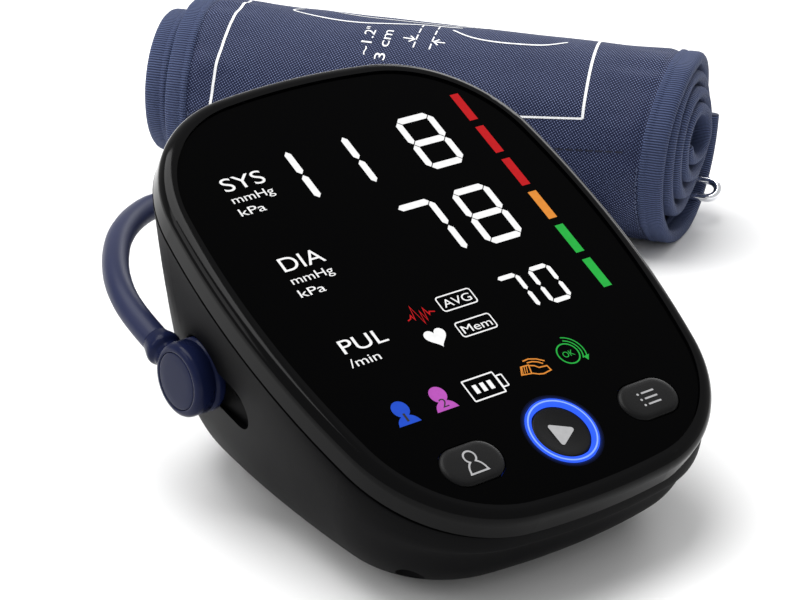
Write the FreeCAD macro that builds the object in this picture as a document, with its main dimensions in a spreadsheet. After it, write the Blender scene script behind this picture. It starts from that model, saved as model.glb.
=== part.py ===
import FreeCAD, Part
import Sketcher
import math
import os

# Upper-arm blood-pressure monitor set: a wedge-shaped desktop console, an air hose with an elbow
# plug, and the rolled arm cuff.  Millimetres.  +Z is up, +X is the console's right and +Y its back.
# The origin lies on the floor, in the middle of the footprint of the console and the cuff.

Vector = FreeCAD.Vector
Placement = FreeCAD.Placement
Rotation = FreeCAD.Rotation
X_AXIS = Vector(1, 0, 0)
Y_AXIS = Vector(0, 1, 0)
Z_AXIS = Vector(0, 0, 1)

doc = FreeCAD.newDocument("blood_pressure_monitor")

# ------------------------------------------------------------------ driving dimensions
DIMENSIONS = {
    # the set
    "console_x": -59.1, "console_y": -76.5,
    "cuff_x": 104.0, "cuff_y": 131.0, "cuff_turn": -54.0,
    # face of the console
    "face_height": 52.7, "face_tilt": 27.2,
    "face_half_width": 52.5, "face_half_length": 63.0, "face_end_radius": 184.0,
    "face_side_radius": 200.0, "face_corner_radius": 34.0, "face_side_shift": 5.7,
    "frame_depth": 6.4, "frame_wall": 3.6, "frame_bead": 2.6, "frame_ledge_inset": 5.4,
    "frame_ledge_depth": 3.8, "tongue_inset": 2.3, "tongue_depth": 9.0, "tongue_gap": 0.1,
    "lens_gap": 0.15, "lens_sink": 0.6, "lens_thickness": 1.6,
    # lower body
    "shell_depth": 7.0, "shell_wall": 2.2, "shell_floor": 1.0,
    "base_half_width": 46.8, "base_half_length": 54.0, "base_middle": 3.5,
    "base_end_radius": 150.0, "base_side_radius": 300.0, "base_corner_radius": 27.0,
    "base_side_shift": -15.0, "base_round": 19.0, "wall_draft": 18.0,
    "base_front_height": 12.0, "base_slope": 0.143,
    # buttons
    "button_row": -45.4, "start_radius": 6.85, "ring_inner": 7.0, "ring_outer": 8.4,
    "ring_hole": 8.5, "side_button_x": 24.9, "side_button_half": 2.8, "side_button_radius": 4.9,
    "side_button_gap": 0.25, "cap_sink": 1.0, "cap_thickness": 2.4, "flange_width": 0.8,
    "stem_radius": 2.4, "stem_depth": 8.0, "button_travel": 0.8,
    # display stack
    "display_width": 84.0, "display_length": 86.0, "display_middle": 10.0,
    "display_depth": 2.7, "display_thickness": 4.8,
    "carrier_inset": 4.4, "carrier_depth": 8.2, "carrier_thickness": 2.2, "carrier_hole": 4.6,
    "board_inset": 11.0, "board_depth": 13.2, "board_thickness": 1.6, "standoff_radius": 3.0,
    "board_screw_x": 30.0, "board_screw_y": 40.0, "switch_side": 6.0, "switch_height": 3.4,
    # fastenings of the housing
    "boss_x": 36.0, "boss_front": -35.0, "boss_back": 36.0, "boss_radius": 4.2,
    "boss_front_top": 14.0, "boss_back_top": 34.0, "well_radius": 3.1, "shank_radius": 1.3,
    "shank_length": 10.0, "head_radius": 2.6, "head_height": 1.8, "head_seat": 2.2,
    # power
    "cell_radius": 7.25, "cell_length": 49.0, "cell_pitch": 14.9, "cell_height": 10.8,
    "cell_middle": 3.0, "nub_radius": 2.75, "nub_length": 1.3,
    "bay_half_width": 30.4, "bay_front": -24.5, "bay_back": 30.5, "bay_top": 18.6,
    "bay_wall": 1.4, "contact_thickness": 0.4, "spring_radius": 3.0, "spring_length": 2.6,
    "cover_gap": 0.35, "cover_thickness": 2.0, "hinge_inset": 1.95,
    "pin_radius": 0.6, "pin_reach": 1.0,
    # air system
    "pump_x": -8.0, "pump_y": 31.0, "pump_z": 32.5, "pump_radius": 11.5, "motor_length": 21.0,
    "head_length": 16.0, "sleeve_wall": 0.6, "sleeve_length": 15.0, "valve_radius": 5.8, "valve_length": 18.0,
    "valve_x": -6.0, "valve_y": 6.0, "valve_z": 31.5, "tube_outer": 2.4, "tube_inner": 1.25,
    "nozzle_outer": 1.2, "nozzle_reach": 5.0, "sensor_x": -19.5, "sensor_y": 8.0,
    "sensor_side": 9.0, "sensor_height": 4.0, "manifold_x": -19.5, "manifold_y": 19.0,
    "manifold_width": 4.0, "manifold_length": 34.0, "manifold_height": 5.0,
    "socket_x": -46.0, "socket_y": 23.5, "socket_z": 32.5, "socket_radius": 4.6,
    "socket_bore": 2.6, "socket_length": 14.0, "recess_radius": 5.2, "recess_depth": 0.9,
    "recess_half": 9.5, "recess_shift": 4.0, "recess_drop": 0.9,
    # feet
    "foot_radius": 3.0, "foot_height": 1.6, "foot_x": 15.0, "foot_front": -28.0,
    "foot_back": 34.4,
    # plug
    "plug_radius": 8.3, "plug_height": 7.6, "plug_gap": 0.5, "plug_round": 1.3,
    "collar_height": 2.6, "groove_depth": 0.35, "groove_width": 0.6, "cap_radius": 6.5,
    "cap_height": 1.0, "nozzle_radius": 2.3, "nozzle_bore": 1.1, "nozzle_length": 11.0,
    "seal_radius": 0.55, "seal_depth": 6.0, "outlet_rise": 16.7, "neck_radius": 3.4,
    "neck_length": 3.6, "collar_start": 9.4, "collar_end": 13.5, "collar_radius": 3.75,
    # hose
    "hose_radius": 3.1, "hose_turn_radius": 31.0, "coil_x": 49.0, "coil_y": 94.6,
    "coil_lift": 0.5, "coil_turns": 2.15, "tie_width": 9.0, "tie_thickness": 0.5,
    # cuff
    "roll_radius": 28.0, "roll_length": 150.0, "first_step": 3.3, "turn_step": 2.3,
    "cloth_thickness": 0.7, "bladder_thickness": 1.6, "layer_gap": 0.05, "binding_width": 1.2,
    "patch_thickness": 0.5, "patch_length": 100.0,
    "wire_radius": 1.15, "loop_length": 156.0, "loop_width": 8.0, "loop_shift": 5.0,
    "loop_angle": -55.0, "loop_radius": 23.15, "sleeve_gap": 0.1, "sleeve_thickness": 0.35,
    "strap_length": 110.0,
    "port_along": 50.0, "port_drop": 30.0, "port_reach": 33.0, "port_radius": 6.5,
    "port_nozzle": 4.2, "port_run": 8.0,
}
sheet = doc.addObject("Spreadsheet::Sheet", "Dims")
for row, (alias, value) in enumerate(DIMENSIONS.items(), start=1):
    sheet.set("A%d" % row, alias)
    sheet.set("B%d" % row, str(value))
    sheet.setAlias("B%d" % row, alias)
doc.recompute()


def dim(alias):
    return float(getattr(sheet, alias))


# ------------------------------------------------------------------ places
CONSOLE = Placement(Vector(dim("console_x"), dim("console_y"), 0), Rotation())
FACE = CONSOLE.multiply(Placement(Vector(0, 0, dim("face_height")),
                                  Rotation(X_AXIS, dim("face_tilt"))))
# The socket's own frame: z points out of the left wall, y up.
SOCKET = CONSOLE.multiply(Placement(
    Vector(dim("socket_x"), dim("socket_y"), dim("socket_z")),
    Rotation(Vector(0, -1, 0), Z_AXIS, Vector(-1, 0, 0))))
# The roll's own frame: z runs along the roll to its right end, y up, x away from the console.
turn = math.radians(dim("cuff_turn"))
ROLL_AXIS = Vector(math.cos(turn), math.sin(turn), 0)
CUFF = CONSOLE.multiply(Placement(
    Vector(dim("cuff_x"), dim("cuff_y"), dim("roll_radius")),
    Rotation(Vector(-math.sin(turn), math.cos(turn), 0), Z_AXIS, ROLL_AXIS)))


def place(frame, x=0.0, y=0.0, z=0.0, axis=Z_AXIS, angle=0.0):
    """A placement inside a frame: a point, then a turn about an axis."""
    return frame.multiply(Placement(Vector(x, y, z), Rotation(axis, angle)))


# ------------------------------------------------------------------ document helpers
def bind(obj, **expressions):
    for name, text in expressions.items():
        obj.setExpression(name, text)
    return obj


def cell(text):
    """An expression in words of the sheet, as FreeCAD reads it."""
    out = []
    word = ""
    for char in text + " ":
        if char.isalnum() or char == "_":
            word += char
            continue
        out.append("Dims." + word if word in DIMENSIONS else word)
        word = ""
        out.append(char)
    return "".join(out).strip()


def cylinder(name, radius, height, placement):
    obj = doc.addObject("Part::Cylinder", name)
    bind(obj, Radius=cell(radius), Height=cell(height))
    obj.Placement = placement
    return obj


def box(name, length, width, height, placement):
    """A box, centred on its placement in x and y, rising in z."""
    obj = doc.addObject("Part::Box", name)
    bind(obj, Length=cell(length), Width=cell(width), Height=cell(height))
    doc.recompute([obj])
    half = Placement(Vector(-obj.Length.Value / 2, -obj.Width.Value / 2, 0), Rotation())
    obj.Placement = placement.multiply(half)
    return obj


def extrude(name, wire, height, placement):
    """A closed wire in the XY plane, made solid downwards from its placement."""
    outline = doc.addObject("Part::Feature", name + "_outline")
    outline.Shape = wire
    outline.Placement = placement
    solid = doc.addObject("Part::Extrusion", name)
    solid.Base = outline
    solid.DirMode = "Custom"
    solid.Dir = placement.Rotation.multVec(Vector(0, 0, -1))
    solid.Solid = True
    bind(solid, LengthFwd=cell(height))
    return solid


def join(name, pieces):
    obj = doc.addObject("Part::MultiFuse", name)
    obj.Shapes = pieces
    return obj


def cut(name, base, tools):
    obj = doc.addObject("Part::Cut", name)
    obj.Base = base
    obj.Tool = tools[0] if len(tools) == 1 else join(name + "_tools", tools)
    return obj


def common(name, first, second):
    obj = doc.addObject("Part::Common", name)
    obj.Base = first
    obj.Tool = second
    return obj


def group(name, pieces):
    obj = doc.addObject("Part::Compound", name)
    obj.Links = pieces
    return obj


def feature(name, shape, placement=None):
    obj = doc.addObject("Part::Feature", name)
    obj.Shape = shape
    if placement is not None:
        obj.Placement = placement
    return obj


def rounded(name, base, radius, chosen):
    """Fillet the edges of a solid whose middle point passes the test."""
    doc.recompute()
    obj = doc.addObject("Part::Fillet", name)
    obj.Base = base
    edges = []
    for number, edge in enumerate(base.Shape.Edges, start=1):
        middle = edge.valueAt((edge.FirstParameter + edge.LastParameter) / 2)
        if chosen(middle):
            edges.append((number, radius, radius))
    obj.Edges = edges
    return obj


SUBPARTS = []


def subpart(obj, label):
    obj.Label = label
    SUBPARTS.append(obj)
    return obj


# ------------------------------------------------------------------ outlines
def corner_centre(half_width, half_length, end_radius, side_radius, corner_radius, shift):
    """Centre of the corner arc that touches the end arc and the side arc from inside."""
    end = Vector(0, half_length - end_radius, 0)
    side = Vector(half_width - side_radius, shift, 0)
    to_end = end_radius - corner_radius
    to_side = side_radius - corner_radius
    between = side - end
    gap = between.Length
    along = between / gap
    reach = (to_end ** 2 - to_side ** 2 + gap ** 2) / (2 * gap)
    height = math.sqrt(to_end ** 2 - reach ** 2)
    across = Vector(-along.y, along.x, 0)
    first = end + along * reach + across * height
    second = end + along * reach - across * height
    return max((first, second), key=lambda point: point.x), end, side


def quarter(half_width, half_length, end_radius, side_radius, corner_radius, shift):
    """Points of one quarter: end of the end arc, middle of the corner, end of the side arc."""
    centre, end, side = corner_centre(half_width, half_length, end_radius, side_radius,
                                      corner_radius, shift)
    on_end = end + (centre - end).normalize() * end_radius
    on_side = side + (centre - side).normalize() * side_radius
    outward = ((on_end - centre) + (on_side - centre)).normalize()
    return on_end, centre + outward * corner_radius, on_side


def outline_wire(half_width, half_length, end_radius, side_radius, corner_radius, shift):
    """Closed outline of eight tangent arcs: two ends, two sides and four corners."""
    sizes = (half_width, half_length, end_radius, side_radius, corner_radius)
    back = quarter(*sizes, shift)
    front = [Vector(p.x, -p.y, 0) for p in quarter(*sizes, -shift)]

    def left(point):
        return Vector(-point.x, point.y, 0)

    arcs = [
        (left(back[0]), Vector(0, half_length, 0), back[0]),
        (back[0], back[1], back[2]),
        (back[2], Vector(half_width, shift, 0), front[2]),
        (front[2], front[1], front[0]),
        (front[0], Vector(0, -half_length, 0), left(front[0])),
        (left(front[0]), left(front[1]), left(front[2])),
        (left(front[2]), Vector(-half_width, shift, 0), left(back[2])),
        (left(back[2]), left(back[1]), left(back[0])),
    ]
    return Part.Wire([Part.Arc(*points).toShape() for points in arcs])


def face_outline(inset):
    return outline_wire(*rim_sizes(inset))


def face_plate(name, inset, depth, thickness):
    """A plate with the face's outline; its top lies at a depth under the face."""
    return extrude(name, face_outline(inset), thickness, place(FACE, z=-depth))


def stadium_wire(half, radius):
    arcs = [
        Part.LineSegment(Vector(-half, radius, 0), Vector(half, radius, 0)).toShape(),
        Part.Arc(Vector(half, radius, 0), Vector(half + radius, 0, 0),
                 Vector(half, -radius, 0)).toShape(),
        Part.LineSegment(Vector(half, -radius, 0), Vector(-half, -radius, 0)).toShape(),
        Part.Arc(Vector(-half, -radius, 0), Vector(-half - radius, 0, 0),
                 Vector(-half, radius, 0)).toShape(),
    ]
    return Part.Wire(arcs)


# ------------------------------------------------------------------ lower body
WALL_STEPS = (1 / 3, 2 / 3)
ROUND_STEPS = (0, 0.2, 0.4, 0.6, 0.8, 1)


def base_sizes(inset):
    """Outline sizes of the body at its shoulder, drawn in by an inset."""
    return (dim("base_half_width") - inset, dim("base_half_length") - inset,
            dim("base_end_radius") - inset, dim("base_side_radius") - inset,
            dim("base_corner_radius") - inset * 0.8, dim("base_side_shift"))


def rim_sizes(inset):
    """Outline sizes of the face, drawn in by an inset."""
    return (dim("face_half_width") - inset, dim("face_half_length") - inset,
            dim("face_end_radius") - inset, dim("face_side_radius") - inset,
            dim("face_corner_radius") - inset, dim("face_side_shift"))


def bowl(name, wall, floor, rim_depth):
    """The body below the face: from the tilted rim down round a soft edge to a flat base."""
    tilt = dim("face_tilt")
    slope = math.radians(tilt)
    rim = (rim_depth * math.sin(slope), dim("face_height") - rim_depth * math.cos(slope), tilt)
    shoulder_height = dim("base_front_height") + dim("base_half_length") * dim("base_slope")
    lean = math.degrees(math.atan(dim("base_slope")))
    shoulder = (dim("base_middle"), floor + shoulder_height, lean)
    outlines = [(rim_sizes(wall), rim)]
    for step in WALL_STEPS:
        sizes = [a + (b - a) * step for a, b in zip(rim_sizes(wall), base_sizes(wall))]
        outlines.append((sizes, [a + (b - a) * step for a, b in zip(rim, shoulder)]))
    draft = math.radians(dim("wall_draft"))
    for step in ROUND_STEPS:
        bend = draft + (math.pi / 2 - draft) * step
        high = (1 - math.sin(bend)) / (1 - math.sin(draft))
        drawn = (math.cos(draft) - math.cos(bend)) / math.cos(draft)
        inset = wall + (dim("base_round") - wall) * drawn
        flat = math.degrees(math.atan(dim("base_slope") * high))
        outlines.append((base_sizes(inset),
                         (dim("base_middle"), floor + high * shoulder_height, flat)))
    sections = []
    for number, (sizes, (middle, height, turned)) in enumerate(outlines):
        section = feature("%s_section_%d" % (name, number), outline_wire(*sizes))
        section.Placement = place(CONSOLE, y=middle, z=height, axis=X_AXIS, angle=turned)
        sections.append(section)
    loft = doc.addObject("Part::Loft", name)
    loft.Sections = sections
    loft.Solid = True
    loft.Ruled = False
    return loft


def stadium_recess():
    """The shallow long recess in the left wall round the air socket."""
    wire = stadium_wire(dim("recess_half"), dim("recess_radius"))
    lean = math.degrees(math.atan(dim("base_slope")))
    outside = 12.0
    deep = place(SOCKET, x=dim("recess_shift"), y=-dim("recess_drop"),
                 z=outside - dim("recess_depth"), angle=-lean)
    return extrude("wall_recess", wire, str(outside), deep)


def rear_shell():
    outer = bowl("shell_outer", 0.0, dim("shell_floor"), dim("shell_depth"))
    inner = bowl("shell_inner", dim("shell_wall"), dim("shell_floor") + dim("cover_thickness"),
                 dim("shell_depth") - 0.4)
    skin = cut("shell_skin", outer, [inner])
    middle = (dim("bay_front") + dim("bay_back")) / 2
    span = "(bay_back - bay_front)"
    bay_block = box("bay_block", "2 * (bay_half_width + bay_wall)", span + " + 2 * bay_wall",
                    "bay_top + bay_wall", place(CONSOLE, y=middle))
    bay_hollow = box("bay_hollow", "2 * bay_half_width", span, "bay_top",
                     place(CONSOLE, y=middle))
    walls = common("bay_inside", bay_block, outer)
    bosses = []
    holes = []
    for side in (-1, 1):
        for row in ("front", "back"):
            x = side * dim("boss_x")
            y = dim("boss_" + row)
            tag = "%s_%s" % (row, "right" if side > 0 else "left")
            top = "boss_%s_top" % row
            bosses.append(cylinder("boss_" + tag, "boss_radius", top, place(CONSOLE, x, y)))
            holes.append(cylinder("well_" + tag, "well_radius", top + " - head_seat",
                                  place(CONSOLE, x, y)))
            holes.append(cylinder("screw_hole_" + tag, "shank_radius + 0.2", top + " + 1",
                                  place(CONSOLE, x, y)))
    inside = common("bosses_inside", join("bosses", bosses), outer)
    body = join("shell_body", [skin, walls, inside])
    socket_hole = cylinder("socket_hole", "socket_radius + 0.1", "20",
                           place(SOCKET, z=-10))
    tongue = face_plate("tongue_slot", dim("tongue_inset") - dim("tongue_gap"),
                        dim("frame_depth"), "tongue_depth - frame_depth + 0.2")
    foot_pits = feet("foot_pit", "foot_radius + 0.1", dim("foot_height"), "foot_height")
    landing = cylinder("plug_landing", "plug_radius + 0.5", "12", place(SOCKET))
    pivot = cylinder("cover_pivot", "pin_radius + 0.1", "2 * (bay_half_width + pin_reach + 0.3)",
                     cover_axis(dim("bay_half_width") + dim("pin_reach") + 0.3))
    tools = [bay_hollow, socket_hole, landing, pivot, tongue, stadium_recess()] + holes + foot_pits
    return subpart(cut("rear_shell", body, tools), "rear_shell")


def feet(name, radius, top, height):
    out = []
    for side in (-1, 1):
        for row in ("front", "back"):
            out.append(cylinder("%s_%s_%d" % (name, row, side), radius, height,
                                place(CONSOLE, side * dim("foot_x"), dim("foot_" + row),
                                      top - dim("foot_height"))))
    return out


def cover_axis(reach):
    """Start of the cover's hinge line, running towards +x."""
    return place(CONSOLE, -reach, dim("bay_front") + dim("hinge_inset"),
                 dim("shell_floor") + 1.0, axis=Y_AXIS, angle=90)


def battery_cover():
    outer = bowl("cover_outer", 0.0, dim("shell_floor"), dim("shell_depth"))
    middle = (dim("bay_front") + dim("bay_back")) / 2
    block = box("cover_block", "2 * (bay_half_width - cover_gap)",
                "bay_back - bay_front - 2 * cover_gap", "shell_floor + cover_thickness",
                place(CONSOLE, y=middle))
    plate = common("cover_plate", outer, block)
    pins = cylinder("cover_pins", "pin_radius", "2 * (bay_half_width + pin_reach)",
                    cover_axis(dim("bay_half_width") + dim("pin_reach")))
    latch = box("cover_latch", "14", "1.2", "5",
                place(CONSOLE, y=dim("bay_back") - 1.4, z=dim("shell_floor") + 1.0))
    return subpart(join("battery_cover", [plate, latch, pins]), "battery_cover")


# ------------------------------------------------------------------ face
def front_frame():
    block = face_plate("frame_block", 0.0, 0.0, "frame_depth")
    face = FACE.inverse()
    bead = rounded("frame_beaded", block, dim("frame_bead"),
                   lambda point: abs(face.multVec(point).z) < 0.01)
    tongue = face_plate("frame_tongue", dim("tongue_inset"), dim("frame_depth"),
                        "tongue_depth - frame_depth")
    seat = face_plate("lens_seat", dim("frame_wall"), -1.0, "lens_sink + lens_thickness + 1")
    window = face_plate("frame_window", dim("frame_ledge_inset"), 0.0, "frame_ledge_depth + 1")
    hollow = face_plate("frame_hollow", dim("frame_wall"), dim("frame_ledge_depth"),
                        "tongue_depth")
    body = join("frame_body", [bead, tongue])
    return subpart(cut("front_frame", body, [seat, window, hollow]), "front_frame")


def button_hole(name, side):
    """Through hole in the lens for a side button."""
    gap = dim("side_button_gap")
    wire = stadium_wire(dim("side_button_half"), dim("side_button_radius") + gap)
    return extrude(name, wire, "6", place(FACE, side * dim("side_button_x"), dim("button_row"), 1))


def front_lens():
    plate = face_plate("lens_plate", dim("frame_wall") + dim("lens_gap"), dim("lens_sink"),
                       "lens_thickness")
    holes = [button_hole("user_hole", -1), button_hole("menu_hole", 1)]
    holes.append(cylinder("ring_opening", "ring_hole", "6", place(FACE, 0, dim("button_row"), -5)))
    return subpart(cut("front_lens", plate, holes), "front_lens")


def light_ring():
    outer = cylinder("ring_block", "ring_outer", "carrier_depth - lens_sink + 0.15",
                     place(FACE, 0, dim("button_row"), -dim("carrier_depth")))
    inner = cylinder("ring_bore", "ring_inner", "20", place(FACE, 0, dim("button_row"), -15))
    return subpart(cut("start_light_ring", outer, [inner]), "start_light_ring")


def body_sketch(body, name, lift):
    """A sketch on the body's own XY plane, raised by an expression."""
    sketch = body.newObject("Sketcher::SketchObject", name)
    plane = [f for f in body.Origin.OriginFeatures if f.Role == "XY_Plane"][0]
    sketch.AttachmentSupport = [(plane, "")]
    sketch.MapMode = "FlatFace"
    sketch.setExpression("AttachmentOffset.Base.z", cell(lift))
    return sketch


def circle_in(sketch, radius):
    number = sketch.addGeometry(Part.Circle(Vector(0, 0, 0), Z_AXIS, 5.0), False)
    sketch.addConstraint(Sketcher.Constraint("Coincident", number, 3, -1, 1))
    index = sketch.addConstraint(Sketcher.Constraint("Radius", number, 5.0))
    sketch.setExpression("Constraints[%d]" % index, cell(radius))


def stadium_in(sketch, half, radius):
    for edge in stadium_wire(half, radius).Edges:
        curve = edge.Curve
        if curve.TypeId == "Part::GeomLine":
            ends = [vertex.Point for vertex in edge.Vertexes]
            sketch.addGeometry(Part.LineSegment(ends[0], ends[1]), False)
        else:
            middle = edge.valueAt((edge.FirstParameter + edge.LastParameter) / 2)
            ends = [vertex.Point for vertex in edge.Vertexes]
            sketch.addGeometry(Part.Arc(ends[0], middle, ends[1]), False)


def pad(body, name, sketch, length):
    feature_ = body.newObject("PartDesign::Pad", name)
    feature_.Profile = sketch
    feature_.Reversed = True
    feature_.setExpression("Length", cell(length))
    sketch.Visibility = False
    return feature_


def push_button(label, x, draw, flanged):
    """A cap, for a side button with a flange below the lens, and a stem down to its switch."""
    body = doc.addObject("PartDesign::Body", label)
    body.Placement = place(FACE, x, dim("button_row"), 0)
    cap = body_sketch(body, label + "_cap_sketch", "-cap_sink")
    draw(cap)
    pad(body, label + "_cap", cap, "cap_thickness")
    if flanged:
        flange = body_sketch(body, label + "_flange_sketch", "-(lens_sink + lens_thickness + 0.1)")
        stadium_in(flange, dim("side_button_half"), dim("side_button_radius") + dim("flange_width"))
        pad(body, label + "_flange", flange, "1")
    stem = body_sketch(body, label + "_stem_sketch", "-(cap_sink + cap_thickness)")
    circle_in(stem, "stem_radius")
    pad(body, label + "_stem", stem, "stem_depth - cap_sink - cap_thickness")
    return subpart(body, label)


def start_cap(sketch):
    circle_in(sketch, "start_radius")


def side_cap(sketch):
    stadium_in(sketch, dim("side_button_half"), dim("side_button_radius"))


# ------------------------------------------------------------------ display stack
BUTTON_PLACES = {"user_button": -1, "start_button": 0, "menu_button": 1}


def display_module():
    block = box("display_block", "display_width", "display_length", "display_thickness",
                place(FACE, 0, dim("display_middle"),
                      -dim("display_depth") - dim("display_thickness")))
    trim = face_plate("display_trim", dim("frame_ledge_inset") + 0.4, dim("display_depth") - 1,
                      "display_thickness + 2")
    return subpart(common("display_module", block, trim), "display_module")


def screw_places():
    for side in (-1, 1):
        for end in (-1, 1):
            yield side * dim("board_screw_x"), end * dim("board_screw_y")


def display_carrier():
    plate = face_plate("carrier_plate", dim("carrier_inset"), dim("carrier_depth"),
                       "carrier_thickness")
    pieces = [plate]
    under = dim("carrier_depth") + dim("carrier_thickness")
    for number, (x, y) in enumerate(screw_places()):
        pieces.append(cylinder("standoff_%d" % number, "standoff_radius",
                               "board_depth - carrier_depth - carrier_thickness + 0.5",
                               place(FACE, x, y, -dim("board_depth"))))
    for side in (-1, 1):
        for row in ("front", "back"):
            x = side * dim("boss_x")
            y = dim("boss_" + row)
            low = dim("boss_%s_top" % row) + 0.1
            tilt = math.radians(dim("face_tilt"))
            high = (dim("face_height") + y * math.tan(tilt)
                    - (under - 0.9) / math.cos(tilt))
            post = cylinder("post_%s_%d" % (row, side), "standoff_radius", str(high - low),
                            place(CONSOLE, x, y, low))
            pieces.append(post)
    holes = []
    for name, side in BUTTON_PLACES.items():
        holes.append(cylinder("carrier_hole_" + name, "carrier_hole", "8",
                              place(FACE, side * dim("side_button_x"), dim("button_row"),
                                    -dim("board_depth") + 1)))
    for number, (x, y) in enumerate(screw_places()):
        holes.append(cylinder("standoff_hole_%d" % number, "0.9", "6",
                              place(FACE, x, y, -dim("board_depth") - 1)))
    for side in (-1, 1):
        for row in ("front", "back"):
            holes.append(cylinder("post_hole_%s_%d" % (row, side), "shank_radius",
                                  "shank_length - head_seat + 0.6",
                                  place(CONSOLE, side * dim("boss_x"), dim("boss_" + row),
                                        dim("boss_%s_top" % row))))
    return subpart(cut("display_carrier", join("carrier_body", pieces), holes),
                   "display_carrier")


def main_board():
    plate = face_plate("board_plate", dim("board_inset"), dim("board_depth"), "board_thickness")
    holes = []
    for number, (x, y) in enumerate(screw_places()):
        holes.append(cylinder("board_hole_%d" % number, "1.2", "6",
                              place(FACE, x, y, -dim("board_depth") - 4)))
    for side in (-1, 1):
        for row in ("front", "back"):
            holes.append(cylinder("board_clear_%s_%d" % (row, side), "boss_radius + 1.5", "70",
                                  place(CONSOLE, side * dim("boss_x"), dim("boss_" + row), 8)))
    return subpart(cut("main_board", plate, holes), "main_board")


def tact_switches():
    pieces = []
    for name, side in BUTTON_PLACES.items():
        spot = place(FACE, side * dim("side_button_x"), dim("button_row"), -dim("board_depth"))
        block = box(name + "_switch", "switch_side", "switch_side", "switch_height", spot)
        plunger = cylinder(name + "_plunger", "1.7", "switch_height + 0.9", spot)
        pieces.append(join(name + "_tact", [block, plunger]))
    return subpart(group("tact_switches", pieces), "tact_switches")


def board_screws():
    pieces = []
    under = dim("board_depth") + dim("board_thickness")
    for number, (x, y) in enumerate(screw_places()):
        head = cylinder("board_head_%d" % number, "1.9", "1.2", place(FACE, x, y, -under - 1.2))
        shank = cylinder("board_shank_%d" % number, "0.85", "board_thickness + 2.4",
                         place(FACE, x, y, -under - 0.2))
        pieces.append(join("board_screw_%d" % number, [head, shank]))
    return subpart(group("board_screws", pieces), "board_screws")


def housing_screws():
    pieces = []
    for side in (-1, 1):
        for row in ("front", "back"):
            seat = dim("boss_%s_top" % row) - dim("head_seat")
            x = side * dim("boss_x")
            y = dim("boss_" + row)
            tag = "%s_%d" % (row, side)
            head = cylinder("screw_head_" + tag, "head_radius", "head_height",
                            place(CONSOLE, x, y, seat - dim("head_height")))
            shank = cylinder("screw_shank_" + tag, "shank_radius - 0.05", "shank_length",
                             place(CONSOLE, x, y, seat - 0.2))
            slot = box("screw_slot_" + tag, "3.4", "0.7", "0.8",
                       place(CONSOLE, x, y, seat - dim("head_height") - 0.1))
            cross = box("screw_cross_" + tag, "0.7", "3.4", "0.8",
                        place(CONSOLE, x, y, seat - dim("head_height") - 0.1))
            pieces.append(cut("screw_" + tag, join("screw_blank_" + tag, [head, shank]),
                              [slot, cross]))
    return subpart(group("housing_screws", pieces), "housing_screws")


# ------------------------------------------------------------------ power
CELLS = (-1.5, -0.5, 0.5, 1.5)


def batteries():
    pieces = []
    for number, step in enumerate(CELLS):
        way = 1 if number % 2 else -1
        spot = place(CONSOLE, step * dim("cell_pitch"),
                     dim("cell_middle") - way * dim("cell_length") / 2, dim("cell_height"),
                     axis=X_AXIS, angle=-90 * way)
        can = cylinder("cell_%d" % number, "cell_radius", "cell_length", spot)
        nub = cylinder("cell_nub_%d" % number, "nub_radius", "cell_length + nub_length", spot)
        pieces.append(join("cell_body_%d" % number, [can, nub]))
    return subpart(group("batteries", pieces), "batteries")


def battery_contacts():
    """Nickel plates on the bay's two end walls: a bump at each plus end, a spring at each minus."""
    pieces = []
    for number, step in enumerate(CELLS):
        way = 1 if number % 2 else -1
        x = step * dim("cell_pitch")
        wall = {1: dim("bay_back"), -1: dim("bay_front")}
        for end in (-1, 1):
            inner = wall[end] - end * dim("contact_thickness")
            plate = box("contact_plate_%d_%d" % (number, end), "11", "contact_thickness", "11",
                        place(CONSOLE, x, (wall[end] + inner) / 2, dim("cell_height") - 5.5))
            towards_cell = place(CONSOLE, x, inner, dim("cell_height"), axis=X_AXIS, angle=90 * end)
            if end == way:
                raised = cylinder("contact_bump_%d" % number, "nub_radius",
                                  "spring_length - nub_length", towards_cell)
            else:
                raised = cylinder("contact_spring_%d" % number, "spring_radius",
                                  "spring_length", towards_cell)
            pieces.append(join("contact_%d_%d" % (number, end), [plate, raised]))
    return subpart(group("battery_contacts", pieces), "battery_contacts")


# ------------------------------------------------------------------ air system
def swept(points, radius, report):
    """Sweep a disc along a route: each corner is an arc of 0.45 of its shorter run."""
    path = [Vector(*point) for point in points]
    edges = []
    radii = []
    here = path[0]
    for before, corner, after in zip(path, path[1:], path[2:]):
        into = corner - before
        out = after - corner
        turn_angle = into.getAngle(out)
        trim = 0.45 * min(into.Length, out.Length)
        radii.append(trim / math.tan(turn_angle / 2))
        start = corner - into.normalize() * trim
        finish = corner + out.normalize() * trim
        bisector = (start + finish) / 2 - corner
        sagitta = radii[-1] * (1 / math.cos(turn_angle / 2) - 1)
        middle = corner + bisector.normalize() * sagitta
        edges.append(Part.LineSegment(here, start).toShape())
        edges.append(Part.Arc(start, middle, finish).toShape())
        here = finish
    edges.append(Part.LineSegment(here, path[-1]).toShape())
    route = Part.Wire(edges)
    first = (path[1] - path[0]).normalize()
    profile = Part.Wire([Part.Circle(path[0], first, radius).toShape()])
    solid = route.makePipeShell([profile], True, False)
    ideal = math.pi * radius ** 2 * route.Length
    print("%s: length %.1f, volume ratio %.4f, least radius %.1f, radii %s"
          % (report, route.Length, solid.Volume / ideal, min(radii),
             ", ".join("%.0f" % value for value in radii)))
    return solid


def lying(x, y, z):
    """A placement in the console whose z axis points to the right."""
    return place(CONSOLE, x, y, z, axis=Y_AXIS, angle=90)


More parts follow.
